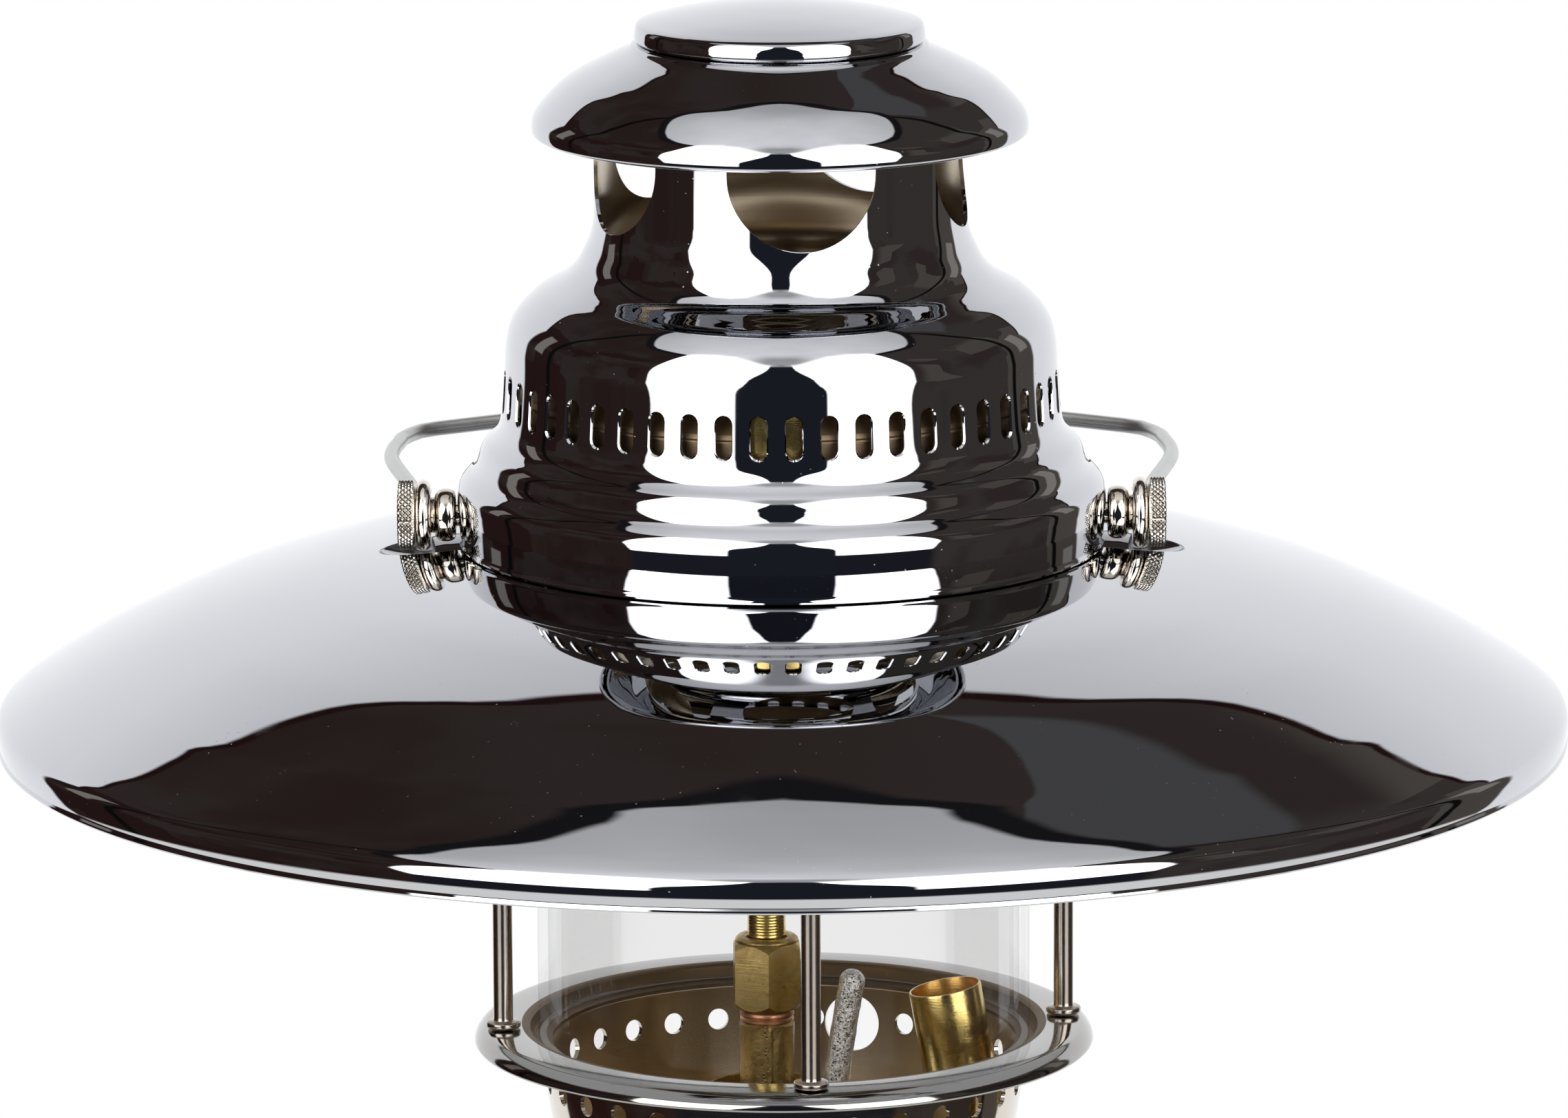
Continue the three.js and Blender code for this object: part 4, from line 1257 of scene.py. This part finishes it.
def make_mixer():
    low = PLATE + 100
    legs = BURNER.length
    along = BURNER.normalized()
    arch = [BURNER + UP * low]
    for i in range(25):
        angle = i * math.pi / 24
        reach = legs / 2 + legs / 2 * math.cos(angle)
        arch.append(along * reach + UP * (low + 18 + legs / 2 * math.sin(angle)))
    arch.append(UP * low)
    outer = swept("mixing_pipe", arch, 7.2, 48)
    inner = [arch[0] - UP * 3] + arch[1:-1] + [arch[-1] - UP * 3]
    piece(combine(outer, [swept("tool", inner, 6.1, 48)]), "root", BRASS_HOT, "mixing_tube")
    nozzle = soften([(4.5, -15), (8.2, -15), (9, -14), (9, -3), (8.4, -2.2),
                     (8.4, -0.3), (4.5, -0.3), (4.5, -15)], 0.5)
    piece(turned("clay_nozzle_ring", above(low, nozzle), 64), "root", CERAMIC, "clay_nozzle")
    sock = flow([(9.6, -13), (10.2, -13.8), (12.2, -16.5), (15, -22), (17.4, -29), (18, -36),
                 (17.4, -43), (15.5, -50), (12, -55.5), (8, -59), (3.5, -61)], 4) + [(0.01, -61.4)]
    outline = sheet_outline(above(low, sock[::-1]), 0.25)

    def pleats(angle, height, radius):
        neck = math.exp(-((height - (low - 16)) / 4.5) ** 2)
        foot = math.exp(-((height - (low - 60)) / 5.0) ** 2)
        return (0.35 * neck + 0.30 * foot) * math.sin(angle * 22) * min(1, radius / 8)
    mantle = turned("mantle_sock", outline, 176, None, pleats, math.radians(70))
    piece(mantle, "root", CLOTH, "mantle")
    tie = [polar(7.5 * i, 10.15 + 0.12 * math.sin(i * 1.3), low - 14.2) for i in range(48)]
    piece(swept("mantle_tie", tie, 0.35, 8, True), "root", CLOTH)


def make_preheater():
    depth = 5
    body = block("preheater_casting", (9, depth - 7, 126), (43, depth + 7, 139), 1.6, 4)
    piece(body, "root", BRASS_CAST, "preheater_body")
    path = flow([(9.9, depth, 139.0), (10.3, depth, 152), (11.3, depth, 164), (12.9, depth, 175),
                 (14.35, depth, 183.2)], 8)
    tip = Vector(path[-1])
    ahead = (tip - Vector(path[-2])).normalized()
    radii = [2.7] * len(path)
    for k in range(1, 9):
        angle = k * math.pi / 16
        path.append(tuple(tip + ahead * 2.6 * math.sin(angle)))
        radii.append(max(0.05, 2.7 * math.cos(angle)))

    def pit(angle, i):
        return 0.09 * math.sin(angle * 3 + i * 1.9) * math.sin(i * 0.8 + angle * 5)
    piece(swept("preheater_spout_tube", path, radii, 40, False, pit), "root", SPOUT_STEEL,
          "preheater_spout")
    lean = Vector((-math.sin(math.radians(10)), 0, math.cos(math.radians(10))))
    cup = flow([(0.01, -22.6), (4.5, -22), (7.0, -20.6), (7.6, -19)], 3) + [(7.65, -0.35), (7.55, 0),
                                                                           (7.2, 0.02), (7.08, -0.3)]
    cup += flow([(7.08, -18.6), (6.5, -19.9), (4.2, -21.2), (0.01, -21.7)], 3)
    mouth = Vector((33.8, depth, PLATE + 5.9))
    cup_piece = turned("torch_cup_shell", cup, 96, lay(lean, mouth))
    piece(cup_piece, "root", BRASS_BRIGHT, "torch_cup")
    to_cup = lay(lean, mouth).inverted()

    def inner_wall(spot, normal):
        spot, normal = to_cup @ spot, to_cup.to_3x3() @ normal
        return normal.x * spot.x + normal.y * spot.y < -0.2 and spot.z > -21
    second_look(cup_piece, BRASS_HOT, inner_wall)
    stem = soften(rod(3, 139.3, PLATE - 12.4), 0.2)
    piece(turned("torch_stem", stem, 32, Matrix.Translation((37.3, depth, 0))), "root", BRASS)
    pivot = Vector((26, depth - 7.3, 133))
    shaft = soften(rod(2, 0, 55), 0.2)
    piece(turned("lever_shaft", shaft, 24, lay(FRONT, pivot)), "preheater", NICKEL)
    end = pivot.y - 55
    arm = block("lever_arm", (23.5, end - 3, 130), (28.5, end + 0.5, 157), 0.9, 3)
    hole = turned("tool", rod(1.3, -9, 9), 32, lay(FRONT, (26, end, 152.5)))
    piece(combine(arm, [hole]), "preheater", NICKEL, "preheater_lever")


# ---------- tank, pump, filler ----------
def make_tank():
    outside = [(0, 6.3), (60, 6.3), (76, 6.4)] + flow([
        (78.6, 6.6), (81.8, 7.4), (84, 9.3), (85, 12.4)], 4)
    outside += [(85, 15.5), (85.35, 16.2), (85.35, 17.2), (85, 17.9)]
    outside += flow([(85, 50), (84.7, 56.5), (83.6, 62.3), (81, 68), (76.4, 72.7), (71.2, 75.6),
                     (64.5, 78.2), (59.4, 80.3), (55.6, 83.3), (53.2, 86.1)], 5)
    outside += [(52.2, 87.6), (51.4, 88), (0, 88)]
    hollow = [(0, 86.8), (50.9, 86.8), (53.6, 84), (58, 79.6), (64, 77), (71, 74.3), (76, 71.4),
              (80, 67), (82.6, 61.6), (83.6, 56), (83.8, 50), (83.8, 12.4), (81, 8.8), (76, 7.6), (0, 7.6)]
    verts, faces = lathe(soften(outside, 0.5, 3), 192)
    tank = tidy(new_object("tank_shell", verts, faces))
    cavity = turned("tool", hollow, 96)
    neck = turned("tool", rod(8.3, 80, 95), 48, Matrix.Translation(BURNER))
    mouth = turned("tool", rod(13.3, -14, 14), 48, lay(FILLER_AXIS, FILLER_BASE))
    barrel = turned("tool", rod(11.3, 60, 95), 48, lay((1, 0, 0), PUMP))
    for tool in (cavity, neck, mouth, barrel):
        combine(tank, [tool])
    true_normals(tank, soften(outside, 0.5, 3))
    piece(tank, "root", CHROME, "fuel_tank")
    foot = soften([(74, 0), (83, 0), (83.2, 1), (82.4, 5.2), (81, 6), (75, 6), (74, 5), (74, 0)], 0.6)
    piece(turned("tank_foot_ring", foot, 192), "root", CHROME, "tank_foot")


def make_pump():
    place = lay((1, 0, 0), PUMP)
    barrel = [(2, -56), (11, -56), (11, 88), (10, 88), (10, -54.5), (2, -54.5), (2, -56)]
    piece(turned("pump_barrel_tube", soften(barrel, 0.3), 64, place), "root", BRASS, "pump_barrel")
    collar = soften([(11.3, 82), (15.4, 82), (14.8, 86.6), (14.4, 88), (11.3, 88), (11.3, 82)], 0.5)
    piece(turned("pump_socket_ring", collar, 96, place), "root", CHROME, "pump_socket")
    cap = [(3.4, 88.3), (14.9, 88.3)] + [(15.5, z) for z in banded(88.7, 93.4, 20)]
    cap += [(14.9, 94.2), (13.6, 95.0), (11, 95.6), (6.4, 95.9), (3.4, 96), (3.4, 88.3)]
    piece(turned("pump_cap_ring", cap, 300, place, knurl(64, 1.3, 0.25, 88.6, 93.5), KNURL_SHARP),
          "root", CHROME, "pump_cap")
    plunger = soften(rod(3, -45, 98), 0.3)
    piece(turned("pump_rod_bar", plunger, 32, place), "pump", STEEL, "pump_rod")
    knob = flow([(3.4, 98.3), (6, 98.5), (8.4, 99.4), (11.4, 100.6), (13.2, 102.6), (13.5, 104.8),
                 (12.7, 107.4), (10.6, 109.3), (7.4, 110.2), (3.5, 110.45)], 4)
    piece(turned("pump_knob_ball", [(0, 98.2)] + knob + [(0, 110.5)], 96, place), "pump", CHROME,
          "pump_knob")
    cup = soften([(0, -52), (6, -52), (9.7, -46.5), (9.7, -45.3), (0, -45.3)], 0.4)
    piece(turned("pump_piston_cup", cup, 48, place), "pump", LEATHER, "pump_piston")
    valve = soften([(0, -62), (4.5, -62), (4.5, -56.3), (1.7, -56.3), (1.7, -53.5), (0, -53.5)], 0.3)
    piece(turned("pump_valve_body", valve, 32, place), "root", BRASS, "pump_valve")


def digits(number, middle, size, place, name):
    """A generic dial number as a thin raised text mesh."""
    curve = bpy.data.curves.new(name, "FONT")
    curve.body = number
    curve.size = size * MM
    curve.extrude = 0.03 * MM
    curve.align_x, curve.align_y = "CENTER", "CENTER"
    text = added(name, curve)
    text.matrix_world = in_metres(place @ Matrix.Translation(middle))
    mesh = evaluated_mesh(text)
    mesh.transform(text.matrix_world)
    bpy.data.objects.remove(text)
    return added(name, mesh)


def make_filler():
    place = lay(FILLER_AXIS, FILLER_BASE, FILLER_SIDE)
    neck = soften(tube(10.5, 13, -6, 8), 0.5)
    piece(turned("filler_neck_ring", neck, 64, place), "root", CHROME, "filler_neck")
    gasket = soften(tube(9.8, 12.6, 8.3, 9.5), 0.3)
    piece(turned("filler_gasket_ring", gasket, 48, place), "root", RUBBER, "filler_gasket")
    cap = [(0, -3), (9.1, -3), (9.4, -2.6), (9.4, 9.8), (14.8, 9.8)]
    cap += [(15.5, z) for z in banded(10.2, 15.6, 20)] + [(14.9, 16), (0, 16)]
    lid = turned("filler_cap_lid", cap, 300, place, knurl(60, 1.35, 0.25, 10.1, 15.7), KNURL_SHARP)
    to_release = place @ lay((1, 0, 0), (0, 0, 13))
    vent = turned("tool", rod(1.6, 6, 20), 24, to_release)
    piece(combine(lid, [vent]), "cap", CHROME, "filler_cap")
    screw = [(0, 8), (1.3, 8), (1.3, 15.9)] + [(3.4, z) for z in banded(16.1, 21.6, 18)]
    screw += [(3.0, 22), (0, 22)]
    piece(turned("release_screw_head", screw, 120, to_release, knurl(22, 1.0, 0.2, 16.0, 21.7),
                 KNURL_SHARP), "release", BRASS_BRIGHT, "release_screw")
    case = soften([(0, 16.3), (13.7, 16.3), (14.2, 17), (14.6, 24.4), (14.3, 26.2), (13.4, 26.5),
                   (12.7, 26.2), (12.6, 18), (0, 18)], 0.4)
    piece(turned("gauge_case_shell", case, 96, place), "cap", CHROME, "gauge_case")
    dial = soften(rod(12.2, 18.3, 18.9), 0.15)
    piece(turned("gauge_dial_disc", dial, 64, place), "cap", ENAMEL, "gauge_dial")
    marks = []
    for k in range(21):
        half, start = (0.24, 9.2) if k % 5 == 0 else (0.14, 10.2)
        tick = block("tick", (-half, start, 0), (half, 11.4, 0.06), 0.02, 1)
        turn = place @ Matrix.Translation((0, 0, 18.91)) @ Matrix.Rotation(
            math.radians(135 - 13.5 * k), 4, "Z")
        tick.data.transform(in_metres(turn))
        marks.append(tick)
    for k in range(5):
        angle = math.radians(225 - 67.5 * k)
        middle = (7.2 * math.cos(angle), 7.2 * math.sin(angle), 18.96)
        marks.append(digits(str(k), middle, 3.2, place, "number"))
    piece(gathered("gauge_marks", marks), "cap", INK)
    hub = soften([(0, 19.3), (1.5, 19.3), (1.5, 20.7), (1.1, 21), (0, 21)], 0.2)
    piece(turned("gauge_pointer_hub", hub, 32, place), "pointer", STEEL, "gauge_needle")
    hand = [[(-0.55, -4, 0), (0.55, -4, 0), (0.12, 9.4, 0), (-0.12, 9.4, 0)],
            [(-0.55, -4, 0.5), (0.55, -4, 0.5), (0.12, 9.4, 0.5), (-0.12, 9.4, 0.5)]]
    pointer = lofted("gauge_pointer_hand", hand)
    pointer.data.transform(in_metres(place @ Matrix.Translation((0, 0, 19.7))))
    piece(pointer, "pointer", INK)
    glass = soften(rod(12.3, 23.4, 24.6), 0.3)
    piece(turned("gauge_window", glass, 64, place), "cap", GLASS, "gauge_glass")


make_hood()
make_caps()
make_reflector()
make_casing()
make_side("left", -1)
make_side("right", 1)
make_bail()
make_frame()
make_burner()
make_vaporiser()
make_preheater()
make_tank()
make_pump()
make_filler()
